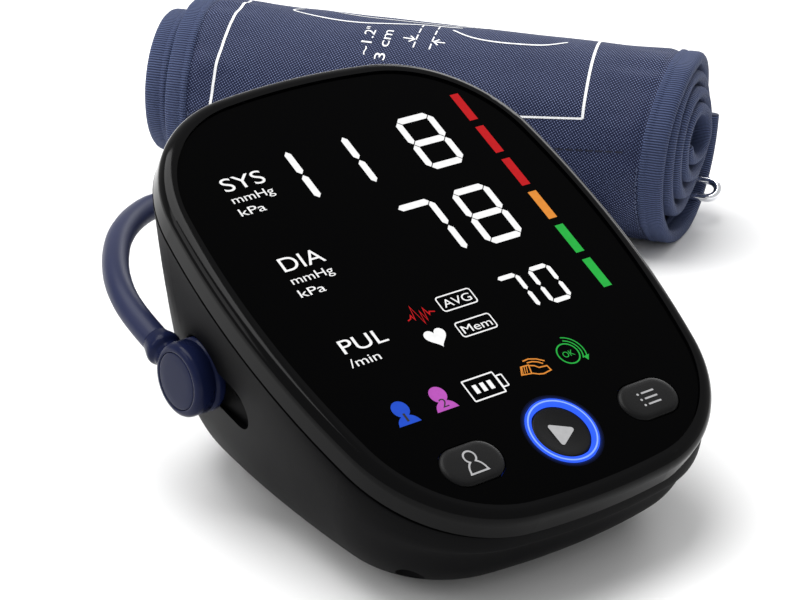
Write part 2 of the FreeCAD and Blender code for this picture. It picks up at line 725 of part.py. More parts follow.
def air_pump():
    spot = lying(dim("pump_x"), dim("pump_y"), dim("pump_z"))
    head_block = cylinder("pump_head_block", "pump_radius", "head_length", spot)
    nozzle = cylinder("pump_nozzle", "nozzle_outer", "nozzle_reach + 1",
                      place(spot, z=-dim("nozzle_reach")))
    subpart(join("pump_head_body", [head_block, nozzle]), "pump_head")
    behind = place(spot, z=dim("head_length"))
    can = cylinder("motor_can", "pump_radius - sleeve_wall", "motor_length", behind)
    shaft_end = cylinder("motor_end", "3", "motor_length + 1", behind)
    subpart(join("pump_motor_body", [can, shaft_end]), "pump_motor")
    around = place(behind, z=3)
    outer = cylinder("sleeve_outer", "pump_radius", "sleeve_length", around)
    inner = cylinder("sleeve_inner", "pump_radius - sleeve_wall", "sleeve_length + 2",
                     place(around, z=-1))
    subpart(cut("pump_sleeve_body", outer, [inner]), "pump_sleeve")


def exhaust_valve():
    spot = lying(dim("valve_x"), dim("valve_y"), dim("valve_z"))
    can = cylinder("valve_can", "valve_radius", "valve_length", spot)
    nozzle = cylinder("valve_nozzle", "nozzle_outer", "nozzle_reach + 1",
                      place(spot, z=-dim("nozzle_reach")))
    return subpart(join("exhaust_valve_body", [can, nozzle]), "exhaust_valve")


def under_board():
    """A placement on the board's lower side, looking down, where the pressure sensor sits."""
    return place(FACE, dim("sensor_x"), dim("sensor_y"),
                 -dim("board_depth") - dim("board_thickness"), axis=X_AXIS, angle=180)


def pressure_sensor():
    spot = under_board()
    block = box("sensor_block", "sensor_side", "sensor_side", "sensor_height", spot)
    nozzle = cylinder("sensor_nozzle", "nozzle_outer", "sensor_height + 3", spot)
    return subpart(join("pressure_sensor_body", [block, nozzle]), "pressure_sensor")


def air_socket():
    """The bush in the left wall: a flange inside, a barrel through the wall, a nipple inwards."""
    barrel = cylinder("socket_barrel", "socket_radius", "socket_length",
                      place(SOCKET, z=-dim("socket_length")))
    flange = cylinder("socket_flange", "socket_radius + 2", "1.6", place(SOCKET, z=-7.2))
    nipple = cylinder("socket_nipple", "nozzle_outer", "nozzle_reach + 1",
                      place(SOCKET, z=-dim("socket_length") - dim("nozzle_reach")))
    bore = cylinder("socket_bore", "socket_bore", "socket_length - 1.5",
                    place(SOCKET, z=-dim("socket_length") + 1.5))
    way = cylinder("socket_way", "0.7", "30", place(SOCKET, z=-25))
    body = join("socket_body", [barrel, flange, nipple])
    return subpart(cut("air_socket", body, [bore, way]), "air_socket")


def inner_tubes():
    """A manifold behind the socket, and short soft tubes to the socket, pump, valve and sensor."""
    x = dim("manifold_x")
    level = dim("socket_z")
    half = dim("manifold_width") / 2
    reach = dim("nozzle_reach")
    block = box("manifold_block", "manifold_width", "manifold_length", "manifold_height",
                place(CONSOLE, x, dim("manifold_y"), level - dim("manifold_height") / 2))
    nipples = [
        cylinder("manifold_in", "nozzle_outer", "4",
                 lying(x - half - 3, dim("socket_y"), level)),
        cylinder("manifold_pump", "nozzle_outer", "4", lying(x + half - 1, dim("pump_y"), level)),
        cylinder("manifold_valve", "nozzle_outer", "4",
                 lying(x + half - 1, dim("valve_y"), dim("valve_z"))),
    ]
    manifold = subpart(join("manifold_body", [block] + nipples), "air_manifold")
    socket_end = dim("socket_x") + dim("socket_length")
    runs = {
        "socket_tube": (socket_end + 1, x - half - 0.3, dim("socket_y"), level),
        "pump_tube": (x + half + 0.3, dim("pump_x") - 0.5, dim("pump_y"), level),
        "valve_tube": (x + half + 0.3, dim("valve_x") - 0.5, dim("valve_y"), dim("valve_z")),
    }
    tubes = []
    for name, (first, last, y, z) in runs.items():
        tubes.append(ring(name, "tube_inner", "tube_outer", str(last - first),
                          lying(first, y, z)))
    sloping = ring("sensor_tube_blank", "tube_inner", "tube_outer", str(reach),
                   place(under_board(), z=dim("sensor_height") + 0.3))
    tubes.append(cut("sensor_tube", sloping, [manifold]))
    subpart(group("inner_tubes_group", tubes), "inner_tubes")


# ------------------------------------------------------------------ plug and hose
OUTLET = Vector(0, math.cos(math.radians(dim("outlet_rise"))),
                math.sin(math.radians(dim("outlet_rise"))))


def plug():
    height = dim("plug_gap") + (dim("plug_height") + 0.4) / 2
    hub = place(SOCKET, z=dim("plug_gap"))
    barrel = cylinder("plug_barrel", "plug_radius", "plug_height", hub)
    outward = SOCKET.inverse()
    top = dim("plug_gap") + dim("plug_height")
    beaded = rounded("plug_beaded", barrel, dim("plug_round"),
                     lambda point: outward.multVec(point).z > top - 0.01)
    nozzle = cylinder("plug_nozzle", "nozzle_radius", "nozzle_length + 1",
                      place(hub, z=-dim("nozzle_length")))
    side = Rotation(Z_AXIS, SOCKET.Rotation.inverted().multVec(OUTLET))
    outlet = place(SOCKET, z=height).multiply(Placement(Vector(0, 0, 0), side))
    neck = cylinder("plug_neck", "neck_radius", "collar_start", outlet)
    groove = ring("plug_groove", "plug_radius - groove_depth", "plug_radius + 1", "groove_width",
                  place(hub, z=dim("collar_height")))
    pocket = cylinder("cap_pocket", "cap_radius + 0.05", "cap_height + 0.2",
                      place(hub, z=dim("plug_height") - dim("cap_height") + 0.1))
    way = cylinder("plug_way", "nozzle_bore", "nozzle_length + 5",
                   place(hub, z=-dim("nozzle_length") - 1))
    seal_seat = ring("seal_seat", "nozzle_radius - 0.9", "nozzle_radius + 1",
                     "2 * seal_radius + 0.1",
                     place(SOCKET, z=-dim("seal_depth") - dim("seal_radius") - 0.05))
    body = join("plug_solid", [beaded, nozzle, neck])
    subpart(cut("plug_body", body, [groove, pocket, way, seal_seat]), "plug_body")
    disc = cylinder("plug_disc", "cap_radius", "cap_height",
                    place(hub, z=dim("plug_height") - dim("cap_height") + 0.1))
    subpart(disc, "plug_cap")
    seal = doc.addObject("Part::Torus", "plug_seal_ring")
    bind(seal, Radius1=cell("nozzle_radius - 0.9 + seal_radius"), Radius2=cell("seal_radius"))
    seal.Placement = place(SOCKET, z=-dim("seal_depth"))
    subpart(seal, "plug_o_ring")
    start = place(outlet, z=dim("collar_start"))
    flare = doc.addObject("Part::Cone", "collar_flare")
    bind(flare, Radius1=cell("collar_radius"), Radius2=cell("hose_radius + 0.05"),
         Height=cell("collar_end - collar_start"))
    flare.Placement = start
    subpart(flare, "hose_collar")
    return outlet.multVec(Vector(0, 0, dim("collar_end")))


def ring(name, inner, outer, height, placement):
    outside = cylinder(name + "_outside", outer, height, placement)
    inside = cylinder(name + "_inside", inner, height + " + 2", place(placement, z=-1))
    return cut(name, outside, [inside])


COIL_CORNERS = 16


def coil_point(angle, height):
    """A corner of the hose's route round the coil, at an angle in degrees."""
    reach = dim("hose_turn_radius") / math.cos(math.pi / COIL_CORNERS)
    return (dim("coil_x") + reach * math.cos(math.radians(angle)),
            dim("coil_y") + reach * math.sin(math.radians(angle)), height)


# Corners of the hose in the console's frame: from the plug's collar down to the coil, then from
# the coil up to the port on the cuff.
LEAD = [(-50.5, 45.3, 39.04), (-47.7, 55.4, 41.4), (-41.7, 66.0, 42.3), (-32.2, 78.5, 41.7),
        (-18.3, 92.0, 38.9), (-1.6, 106.0, 33.2), (19.0, 119.0, 21.5), (38.1, 124.8, 17.3)]
TAIL = [(79.27, 105.67, 3.6), (97.3, 91.57, 11.5), (105.55, 80.2, 11.5)]
LEAVING_ANGLE = 47.25


def hose():
    start = CONSOLE.inverse().multVec(plug())
    low = dim("hose_radius") + dim("coil_lift")
    top = low + 2 * dim("hose_radius") * dim("coil_turns")
    corner = 360 / COIL_CORNERS
    drop = 2 * dim("hose_radius") / COIL_CORNERS
    onto_coil = [coil_point(90 - corner * (step + 0.5), top - drop * (step + 0.5))
                 for step in range(3)]
    lead = [tuple(start)] + LEAD + onto_coil
    tail = [coil_point(LEAVING_ANGLE, low)] + TAIL
    radius = dim("hose_radius")
    subpart(feature("air_hose", swept(lead, radius, "air hose"), CONSOLE), "air_hose")
    subpart(feature("hose_tail", swept(tail, radius, "hose tail"), CONSOLE), "hose_tail")
    spot = place(CONSOLE, dim("coil_x"), dim("coil_y"), dim("coil_lift"))
    subpart(ring("hose_coil", "hose_turn_radius - hose_radius", "hose_turn_radius + hose_radius",
                 "5 * hose_radius", spot), "hose_coil")
    tie_spot = place(CONSOLE, dim("coil_x"), dim("coil_y"), angle=200).multiply(
        Placement(Vector(dim("hose_turn_radius"), 0, 0), Rotation()))
    band = box("tie_band", "2 * hose_radius + 2 * tie_thickness + 1.2", "tie_width",
               "5 * hose_radius + 2 * tie_thickness", tie_spot)
    hole = box("tie_hole", "2 * hose_radius + 1.2", "tie_width + 2", "5 * hose_radius + 0.02",
               place(tie_spot, z=dim("tie_thickness") - 0.01))
    coil_room = ring("tie_room", "hose_turn_radius - hose_radius",
                     "hose_turn_radius + hose_radius", "5 * hose_radius", spot)
    subpart(cut("hose_tie", band, [hole, coil_room]), "hose_tie")


# ------------------------------------------------------------------ cuff
def turn_radii():
    """Radii of the roll's half turns, from the outside in; the first turn leaves room for the ring."""
    radii = [dim("roll_radius")]
    for number in range(8):
        radii.append(radii[-1] - (dim("first_step") if number < 2 else dim("turn_step")))
    return radii


def half_turns():
    """Each half turn as its centre, its radius and its side: -1 below, 1 above."""
    edge = dim("roll_radius")
    out = []
    for number, radius in enumerate(turn_radii()):
        side = -1 if number % 2 == 0 else 1
        centre = edge + side * radius
        out.append((centre, radius, side))
        edge = centre + side * radius
    return out


def spiral_solid(inset, thickness, along, length):
    """A cloth layer: the rolled strip between two insets from the roll's outer surface."""
    outer = []
    inner = []
    for centre, radius, side in half_turns():
        for edges, reach in ((outer, radius - inset), (inner, radius - inset - thickness)):
            start = Vector(centre - side * reach, 0, along)
            top = Vector(centre, side * reach, along)
            finish = Vector(centre + side * reach, 0, along)
            edges.append(Part.Arc(start, top, finish).toShape())
    caps = []
    for which in (0, -1):
        near = outer[which].Vertexes[which].Point
        far = inner[which].Vertexes[which].Point
        caps.append(Part.LineSegment(near, far).toShape())
    wire = Part.Wire(Part.__sortEdges__(outer + caps + inner))
    return Part.Face(wire).extrude(Vector(0, 0, length))


def arc_strip(radius, thickness, first, last, length, centre=0.0):
    """A strip of cloth on a cylinder between two angles, centred along the roll."""
    def on(reach, angle):
        bend = math.radians(angle)
        return Vector(centre + reach * math.cos(bend), reach * math.sin(bend), -length / 2)

    middle = (first + last) / 2
    low = radius - thickness
    edges = [
        Part.Arc(on(radius, first), on(radius, middle), on(radius, last)).toShape(),
        Part.LineSegment(on(radius, last), on(low, last)).toShape(),
        Part.Arc(on(low, last), on(low, middle), on(low, first)).toShape(),
        Part.LineSegment(on(low, first), on(radius, first)).toShape(),
    ]
    return Part.Face(Part.Wire(edges)).extrude(Vector(0, 0, length))


def cuff():
    length = dim("roll_length") - 2 * dim("binding_width")
    cloth = dim("cloth_thickness")
    bladder = dim("bladder_thickness")
    gap = dim("layer_gap")
    stack = 2 * cloth + bladder + 2 * gap
    layers = {"outer_cloth": (0.0, cloth, length), "inner_cloth": (stack - cloth, cloth, length),
              "air_bladder": (cloth + gap, bladder, length - 10)}
    for label, (inset, thickness, span) in layers.items():
        subpart(feature(label, spiral_solid(inset, thickness, -span / 2, span), CUFF), label)
    bindings = {"edge_binding_right": length / 2,
                "edge_binding_left": -length / 2 - dim("binding_width")}
    for label, along in bindings.items():
        subpart(feature(label, spiral_solid(0.0, stack, along, dim("binding_width")), CUFF), label)
    radii = turn_radii()
    patch = dim("patch_thickness")
    hook = arc_strip(radii[0] - stack, patch, -170, -95, dim("patch_length"))
    subpart(feature("hook_patch", hook, CUFF), "hook_patch")
    loop = arc_strip(radii[2] + patch, patch, -165, -90, dim("patch_length"))
    subpart(feature("loop_patch", loop, CUFF), "loop_patch")


def wire_ring():
    """A long narrow loop of wire, lying flat in the roll, through the strap's sleeve."""
    half = dim("loop_width") / 2 - dim("wire_radius")
    run = dim("loop_length") / 2 - dim("wire_radius") - half
    points = [Vector(-half, 0, -run), Vector(-half, 0, run), Vector(0, 0, run + half),
              Vector(half, 0, run), Vector(half, 0, -run), Vector(0, 0, -run - half)]
    route = Part.Wire([
        Part.LineSegment(points[0], points[1]).toShape(),
        Part.Arc(points[1], points[2], points[3]).toShape(),
        Part.LineSegment(points[3], points[4]).toShape(),
        Part.Arc(points[4], points[5], points[0]).toShape(),
    ])
    profile = Part.Wire([Part.Circle(points[0], Z_AXIS, dim("wire_radius")).toShape()])
    solid = route.makePipeShell([profile], True, False)
    angle = dim("loop_angle")
    lie = place(CUFF, angle=angle).multiply(
        Placement(Vector(dim("loop_radius"), 0, dim("loop_shift")), Rotation(Z_AXIS, 90)))
    subpart(feature("wire_ring", solid, lie), "wire_ring")
    bore = dim("wire_radius") + dim("sleeve_gap")
    spin = math.radians(angle)
    middle = Vector(dim("loop_radius") * math.cos(spin) - half * math.sin(spin),
                    dim("loop_radius") * math.sin(spin) + half * math.cos(spin),
                    -dim("strap_length") / 2)
    sleeve = Part.makeCylinder(bore + dim("sleeve_thickness"), dim("strap_length"), middle)
    first = math.degrees(math.atan2(middle.y, middle.x))
    strip = arc_strip(dim("loop_radius") + 0.4, 0.8, first, -6, dim("strap_length"))
    hole = Part.makeCylinder(bore, dim("strap_length") + 2, middle - Vector(0, 0, 1))
    strap = sleeve.fuse(strip).cut(hole)
    subpart(feature("ring_strap", strap, CUFF), "ring_strap")


def hose_port():
    """The moulded elbow on the cuff's outer cloth, where the hose goes in."""
    drop = 180 + dim("port_drop")
    spot = place(CUFF, z=dim("port_along"), angle=drop)
    boss = cylinder("port_boss", "port_radius", "port_reach - roll_radius + 2",
                    spot.multiply(Placement(Vector(dim("roll_radius") - 0.6, 0, 0),
                                            Rotation(Y_AXIS, 90))))
    nozzle = cylinder("port_nozzle_tube", "port_nozzle", "port_run",
                      spot.multiply(Placement(Vector(dim("port_reach"), 0, -dim("port_run")),
                                              Rotation())))
    drum = cylinder("port_drum", "roll_radius + 0.05", "40", place(CUFF, z=dim("port_along") - 20))
    return subpart(cut("hose_port", join("port_body", [boss, nozzle]), [drum]), "hose_port")


# ------------------------------------------------------------------ the assembly
rear_shell()
battery_cover()
front_frame()
front_lens()
light_ring()
push_button("start_button", 0.0, start_cap, False)
push_button("user_button", -dim("side_button_x"), side_cap, True)
push_button("menu_button", dim("side_button_x"), side_cap, True)
display_module()
display_carrier()
main_board()
tact_switches()
board_screws()
housing_screws()
subpart(group("rubber_feet", feet("foot", "foot_radius", dim("foot_height"), "foot_height")),
        "rubber_feet")
batteries()
battery_contacts()
air_pump()
exhaust_valve()
pressure_sensor()
air_socket()
inner_tubes()
hose()
cuff()
wire_ring()
hose_port()
doc.recompute()

# ------------------------------------------------------------------ checks and files
problems = []
for obj in doc.Objects:
    if "Invalid" in obj.State or "Error" in obj.State:
        problems.append("%s: %s" % (obj.Label, obj.State))
for obj in SUBPARTS:
    if obj.Shape.isNull() or not obj.Shape.isValid() or not obj.Shape.Solids:
        problems.append("%s: bad shape" % obj.Label)
if problems:
    raise RuntimeError("; ".join(problems))
os.makedirs("parts", exist_ok=True)
whole = FreeCAD.BoundBox()
CORD = ("air_hose", "hose_tail", "hose_coil", "hose_tie", "hose_collar", "plug_body", "plug_cap",
        "plug_o_ring")
for obj in SUBPARTS:
    obj.Shape.exportStep("parts/%s.step" % obj.Label)
    if obj.Label not in CORD:
        whole.add(obj.Shape.BoundBox)
    print("%-20s %d solids %9.1f mm3" % (obj.Label, len(obj.Shape.Solids), obj.Shape.Volume))
print("%d sub-parts, box %s" % (len(SUBPARTS), whole))
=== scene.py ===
import math

import bmesh
import bpy
from mathutils import Matrix, Vector, noise


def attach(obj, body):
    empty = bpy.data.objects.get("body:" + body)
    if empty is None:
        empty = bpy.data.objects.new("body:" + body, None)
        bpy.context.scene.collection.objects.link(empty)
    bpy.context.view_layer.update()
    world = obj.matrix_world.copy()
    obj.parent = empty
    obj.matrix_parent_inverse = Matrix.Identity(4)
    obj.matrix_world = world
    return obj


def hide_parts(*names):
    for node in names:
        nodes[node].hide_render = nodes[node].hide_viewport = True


MM = 0.001
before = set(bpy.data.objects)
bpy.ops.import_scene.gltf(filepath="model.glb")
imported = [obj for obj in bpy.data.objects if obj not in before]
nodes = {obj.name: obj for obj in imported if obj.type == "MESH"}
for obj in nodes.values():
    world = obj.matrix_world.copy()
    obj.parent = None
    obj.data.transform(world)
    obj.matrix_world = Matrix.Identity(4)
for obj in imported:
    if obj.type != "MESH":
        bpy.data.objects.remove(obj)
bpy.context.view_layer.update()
scene = bpy.context.scene

# ------------------------------------------------------------------ places
FACE_TILT = math.radians(27.2)
FACE_HEIGHT = 52.7
CONSOLE = Vector((-59.1, -76.5, 0.0))
CUFF_MIDDLE = Vector((104.0, 131.0, 28.0))
CUFF_TURN = math.radians(-54.0)
SOCKET = Vector((-46.0, 23.5, 32.5))


def axes(x, y, z, origin):
    """A frame from three unit axes and an origin in millimetres of the row frame."""
    turned = Matrix((x, y, z)).transposed().to_4x4()
    turned.translation = origin * MM
    return turned


FACE = axes(
    Vector((1, 0, 0)),
    Vector((0, math.cos(FACE_TILT), math.sin(FACE_TILT))),
    Vector((0, -math.sin(FACE_TILT), math.cos(FACE_TILT))),
    CONSOLE + Vector((0, 0, FACE_HEIGHT)),
)
CUFF = axes(
    Vector((-math.sin(CUFF_TURN), math.cos(CUFF_TURN), 0)),
    Vector((0, 0, 1)),
    Vector((math.cos(CUFF_TURN), math.sin(CUFF_TURN), 0)),
    CONSOLE + CUFF_MIDDLE,
)
PLUG = axes(Vector((0, -1, 0)), Vector((0, 0, 1)), Vector((-1, 0, 0)), CONSOLE + SOCKET)


def console_point(x, y, z):
    return (CONSOLE + Vector((x, y, z))) * MM


# ------------------------------------------------------------------ camera
CAMERA_PLACE = console_point(-333.2, -384.95, 281.42)
CAMERA_RIGHT = Vector((0.77679, -0.62897, 0.03167))
CAMERA_UP = Vector((0.24203, 0.34458, 0.90702))
CAMERA_BACK = Vector((-0.58140, -0.69689, 0.41990))


def camera():
    data = bpy.data.cameras.new("camera")
    data.lens = 115.9
    data.sensor_width = 36
    data.clip_start = 0.05
    obj = bpy.data.objects.new("camera", data)
    scene.collection.objects.link(obj)
    turned = Matrix((CAMERA_RIGHT, CAMERA_UP, CAMERA_BACK)).transposed().to_4x4()
    turned.translation = CAMERA_PLACE
    obj.matrix_world = turned
    scene.camera = obj


camera()


# ------------------------------------------------------------------ materials
WAVE_PERIOD = 0.314         # length of one band of a wave texture at scale 1
SHEEN_TINT = (0.45, 0.55, 0.90, 1)


class Nodes:
    """A short way to lay out a material's node tree."""

    def __init__(self, name, colour, roughness, **sockets):
        self.material = bpy.data.materials.new(name)
        self.material.use_nodes = True
        self.tree = self.material.node_tree
        self.shader = self.tree.nodes["Principled BSDF"]
        self.shader.inputs["Base Color"].default_value = (*colour, 1)
        self.shader.inputs["Roughness"].default_value = roughness
        for key, value in sockets.items():
            self.shader.inputs[key.replace("_", " ")].default_value = value

    def add(self, kind, inputs=None, **settings):
        node = self.tree.nodes.new("ShaderNode" + kind)
        for key, value in settings.items():
            setattr(node, key, value)
        for key, value in (inputs or {}).items():
            if isinstance(value, bpy.types.NodeSocket):
                self.tree.links.new(value, node.inputs[key])
            else:
                node.inputs[key].default_value = value
        return node

    def coords(self, uv=False):
        return self.add("TexCoord").outputs["UV" if uv else "Object"]

    def noise(self, place, scale, detail=3.0, roughness=0.55):
        settings = {"Vector": place, "Scale": scale, "Detail": detail, "Roughness": roughness}
        return self.add("TexNoise", settings).outputs["Fac"]

    def ramp(self, value, first, last, low, high):
        """Maps value from first..last to low..high, held at the ends."""
        settings = {0: value, 1: first, 2: last, 3: low, 4: high}
        return self.add("MapRange", settings).outputs[0]

    def math(self, kind, first, second):
        return self.add("Math", {0: first, 1: second}, operation=kind).outputs[0]

    def blend(self, share, first, last):
        node = self.add("Mix", data_type="RGBA")
        self.tree.links.new(share, node.inputs["Factor"])
        for key, value in (("A", first), ("B", last)):
            socket = [s for s in node.inputs if s.name == key and s.type == "RGBA"][0]
            if isinstance(value, bpy.types.NodeSocket):
                self.tree.links.new(value, socket)
            else:
                socket.default_value = (*value, 1)
        return [s for s in node.outputs if s.type == "RGBA"][0]

    def bump(self, height, strength, distance):
        settings = {"Height": height, "Strength": strength, "Distance": distance}
        before = self.shader.inputs["Normal"]
        if before.links:
            settings["Normal"] = before.links[0].from_socket
        node = self.add("Bump", settings)
        self.tree.links.new(node.outputs["Normal"], before)

    def drive(self, key, value):
        self.tree.links.new(value, self.shader.inputs[key])


def moulded(name, colour, light, roughness, grain=2600.0, depth=0.25, **sockets):
    """Moulded plastic: fine grain, slight tone change and a little uneven gloss."""
    m = Nodes(name, colour, roughness, **sockets)
    place = m.coords()
    fine = m.noise(place, grain, 2.0)
    broad = m.noise(place, 28.0, 4.0)
    m.drive("Base Color", m.blend(m.ramp(broad, 0.35, 0.7, 0.0, 1.0), colour, light))
    m.drive("Roughness", m.ramp(broad, 0.3, 0.7, roughness - 0.05, roughness + 0.06))
    m.bump(fine, depth, 0.0001)
    return m.material


def gloss(name, colour, roughness, **sockets):
    """Polished black plastic with faint handling haze."""
    m = Nodes(name, colour, roughness, **sockets)
    place = m.coords()
    haze = m.noise(place, 60.0, 6.0, 0.7)
    m.drive("Roughness", m.ramp(haze, 0.4, 0.75, roughness, roughness + 0.05))
    m.bump(m.noise(place, 90.0, 1.0), 0.02, 0.0002)
    return m.material


def glow(name, colour, strength):
    """A lit display element: slightly uneven light under the lens."""
    m = Nodes(name, (0.0, 0.0, 0.0), 0.35, Specular_IOR_Level=0.03)
    m.shader.inputs["Emission Color"].default_value = (*colour, 1)
    spots = m.noise(m.coords(), 900.0, 2.0)
    m.drive("Emission Strength", m.ramp(spots, 0.3, 0.7, strength * 0.94, strength * 1.04))
    return m.material


def cloth(name, dark, light, pitch, slope):
    """Woven polyester: twill threads from the strip's own lengths, with sheen and creases."""
    m = Nodes(name, dark, 0.62, Sheen_Weight=0.05, Sheen_Roughness=0.4,
              Specular_IOR_Level=0.26)
    m.shader.inputs["Sheen Tint"].default_value = SHEEN_TINT
    place = m.coords(uv=True)
    turned = m.add("Mapping", {"Vector": place, "Rotation": (0, 0, slope)}).outputs[0]
    settings = {"Vector": turned, "Scale": WAVE_PERIOD / pitch, "Distortion": 0.6,
                "Detail": 1.0, "Detail Scale": 2.0}
    warp, weft = (m.add("TexWave", settings, bands_direction=way).outputs["Fac"] for way in "XY")
    threads = m.math("MULTIPLY", warp, weft)
    patches = m.ramp(m.noise(place, 40.0, 4.0), 0.3, 0.7, 0.7, 1.0)
    tone = m.math("MULTIPLY", m.ramp(threads, 0.34, 0.92, 0.0, 1.0), patches)
    m.drive("Base Color", m.blend(tone, dark, light))
    m.drive("Roughness", m.ramp(threads, 0.0, 1.0, 0.72, 0.5))
    m.bump(m.noise(place, 160.0, 3.0), 0.25, 0.0006)
    m.bump(threads, 0.55, 0.0002)
    return m.material


def ribbed(name, dark, light, pitch):
    """Grosgrain binding tape: ribs across the tape, with a fine thread along them."""
    m = Nodes(name, dark, 0.66, Sheen_Weight=0.05, Sheen_Roughness=0.45,
              Specular_IOR_Level=0.26)
    m.shader.inputs["Sheen Tint"].default_value = SHEEN_TINT
    place = m.coords(uv=True)
    ribs = m.add("TexWave", {"Vector": place, "Scale": WAVE_PERIOD / pitch, "Distortion": 0.4},
                 bands_direction="X").outputs["Fac"]
    settings = {"Vector": place, "Scale": 2 * WAVE_PERIOD / pitch, "Distortion": 0.8}
    thread = m.add("TexWave", settings, bands_direction="Y").outputs["Fac"]
    weave = m.math("MULTIPLY", ribs, m.ramp(thread, 0.0, 1.0, 0.6, 1.0))
    m.drive("Base Color", m.blend(weave, dark, light))
    m.bump(weave, 0.8, 0.0003)
    return m.material


def metal(name, colour, roughness):
    """Bare metal with fine scratches in its gloss."""
    m = Nodes(name, colour, roughness, Metallic=1.0)
    scratches = m.noise(m.coords(), 700.0, 5.0, 0.7)
    m.drive("Roughness", m.ramp(scratches, 0.3, 0.75, roughness, roughness + 0.1))
    m.bump(scratches, 0.03, 0.0001)
    return m.material


NAVY_DARK = (0.0028, 0.0068, 0.034)
NAVY_LIGHT = (0.190, 0.235, 0.420)
MATERIALS = {
    "shell": moulded("shell", (0.0026, 0.0026, 0.0029), (0.0042, 0.0042, 0.0045), 0.50,
                     depth=0.35, Specular_IOR_Level=0.0432),
    "gloss": gloss("gloss_black", (0.0008, 0.0008, 0.0010), 0.09, Specular_IOR_Level=0.10),
    "lens": gloss("lens_black", (0.0005, 0.0005, 0.0006), 0.06, Specular_IOR_Level=0.02),
    "cap": moulded("button_cap", (0.0034, 0.0034, 0.0036), (0.0050, 0.0050, 0.0053), 0.40,
                   depth=0.05, Specular_IOR_Level=0.12),
    "board": moulded("circuit_board", (0.010, 0.12, 0.05), (0.02, 0.16, 0.07), 0.35),
    "white": moulded("inner_plastic", (0.55, 0.56, 0.54), (0.62, 0.62, 0.60), 0.5),
    "black": moulded("switch_black", (0.02, 0.02, 0.02), (0.03, 0.03, 0.03), 0.5),
    "rubber": moulded("black_rubber", (0.016, 0.016, 0.017), (0.024, 0.024, 0.025), 0.75,
                      grain=1500.0),
    "cell": moulded("cell_jacket", (0.03, 0.03, 0.035), (0.05, 0.05, 0.055), 0.25),
    "steel": metal("steel", (0.62, 0.61, 0.58), 0.28),
    "chrome": metal("chrome", (0.86, 0.87, 0.90), 0.06),
    "plug": moulded("navy_plastic", (0.0062, 0.0092, 0.034), (0.0088, 0.0125, 0.042), 0.25,
                    depth=0.06, Specular_IOR_Level=0.084),
    "hose": moulded("navy_hose", (0.0105, 0.0145, 0.046), (0.015, 0.020, 0.060), 0.42,
                    grain=1200.0, depth=0.10, Specular_IOR_Level=0.17),
    "tie": ribbed("tie_tape", (0.02, 0.02, 0.024), (0.05, 0.05, 0.055), 0.0006),
    "cloth": cloth("navy_cloth", NAVY_DARK, NAVY_LIGHT, 0.00068, math.radians(38)),
    # partly the lining's own colour, partly painted shade: darkened so that the roll's inner
    # folds read as shaded
    "lining_and_fold_shade": cloth("lining_cloth_and_fold_shade", (0.0035, 0.0065, 0.020), (0.036, 0.052, 0.105), 0.0006, 0.6),
    "binding": ribbed("navy_binding", (0.0040, 0.0080, 0.034), (0.088, 0.120, 0.245), 0.0007),
    "stitch": moulded("stitch_thread", (0.035, 0.048, 0.105), (0.055, 0.072, 0.14), 0.7),
    "seam": moulded("seam_thread", (0.0030, 0.0050, 0.018), (0.0060, 0.0090, 0.030), 0.7),
    "print": moulded("white_print", (0.80, 0.81, 0.82), (0.86, 0.87, 0.88), 0.55),
    "lit_white": glow("lit_white", (1.0, 1.0, 1.0), 1.0),
    "lit_red": glow("lit_red", (0.62, 0.012, 0.016), 0.9),
    "lit_orange": glow("lit_orange", (0.85, 0.30, 0.045), 0.95),
    "lit_green": glow("lit_green", (0.025, 0.48, 0.065), 0.95),
    "lit_blue": glow("lit_blue", (0.020, 0.085, 0.62), 1.0),
    "lit_magenta": glow("lit_magenta", (0.52, 0.10, 0.52), 1.0),
    "dark": gloss("sign_dark", (0.002, 0.002, 0.002), 0.3),
    "ring": glow("ring_light", (0.030, 0.110, 0.95), 1.25),
    "ring_core": glow("ring_core", (0.26, 0.42, 1.0), 1.2),
    # painted light: the printed button signs glow, though they are print and no lamp
    "sign": glow("button_sign_painted_glow", (0.62, 0.62, 0.63), 0.8),
    "halo": glow("ring_halo", (0.010, 0.030, 0.22), 0.50),
    "halo_mid": glow("ring_halo_mid", (0.010, 0.030, 0.22), 0.20),
    "halo_far": glow("ring_halo_far", (0.010, 0.030, 0.22), 0.07),
}

NODE_MATERIALS = {
    "shell": ("rear_shell", "battery_cover"),
    "gloss": ("front_frame",),
    "lens": ("front_lens", "display_module"),
    "ring": ("start_light_ring",),
    "cap": ("start_button", "user_button", "menu_button"),
    "white": ("display_carrier", "air_manifold", "air_socket", "pump_head", "exhaust_valve"),
    "board": ("main_board",),
    "black": ("tact_switches", "pressure_sensor"),
    "steel": ("board_screws", "housing_screws", "battery_contacts", "pump_motor"),
    "rubber": ("rubber_feet", "plug_o_ring", "inner_tubes", "pump_sleeve"),
    "cell": ("batteries",),
    "chrome": ("wire_ring",),
    "plug": ("plug_body", "plug_cap", "hose_port", "hose_collar"),
    "tie": ("hose_tie",),
}
for key, names in NODE_MATERIALS.items():
    for name in names:
        nodes[name].data.materials.clear()
        nodes[name].data.materials.append(MATERIALS[key])


# ------------------------------------------------------------------ mesh helpers
def mesh_object(name, points, faces, material, body, smooth=True, uvs=None):
    """A mesh in the row frame, from points in metres, riding on a body."""
    data = bpy.data.meshes.new(name)
    data.from_pydata(points, [], faces)
    if uvs:
        layer = data.uv_layers.new(name="lengths")
        for loop in data.loops:
            layer.data[loop.index].uv = uvs[loop.vertex_index]
    data.materials.append(MATERIALS[material])
    for polygon in data.polygons:
        polygon.use_smooth = smooth
    data.update()
    obj = bpy.data.objects.new(name, data)
    scene.collection.objects.link(obj)
    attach(obj, body)
    return obj


def face_outwards(obj):
    """Turn every face of a closed piece to the outside."""
    mesh = bmesh.new()
    mesh.from_mesh(obj.data)
    bmesh.ops.recalc_face_normals(mesh, faces=mesh.faces)
    mesh.to_mesh(obj.data)
    mesh.free()
    return obj


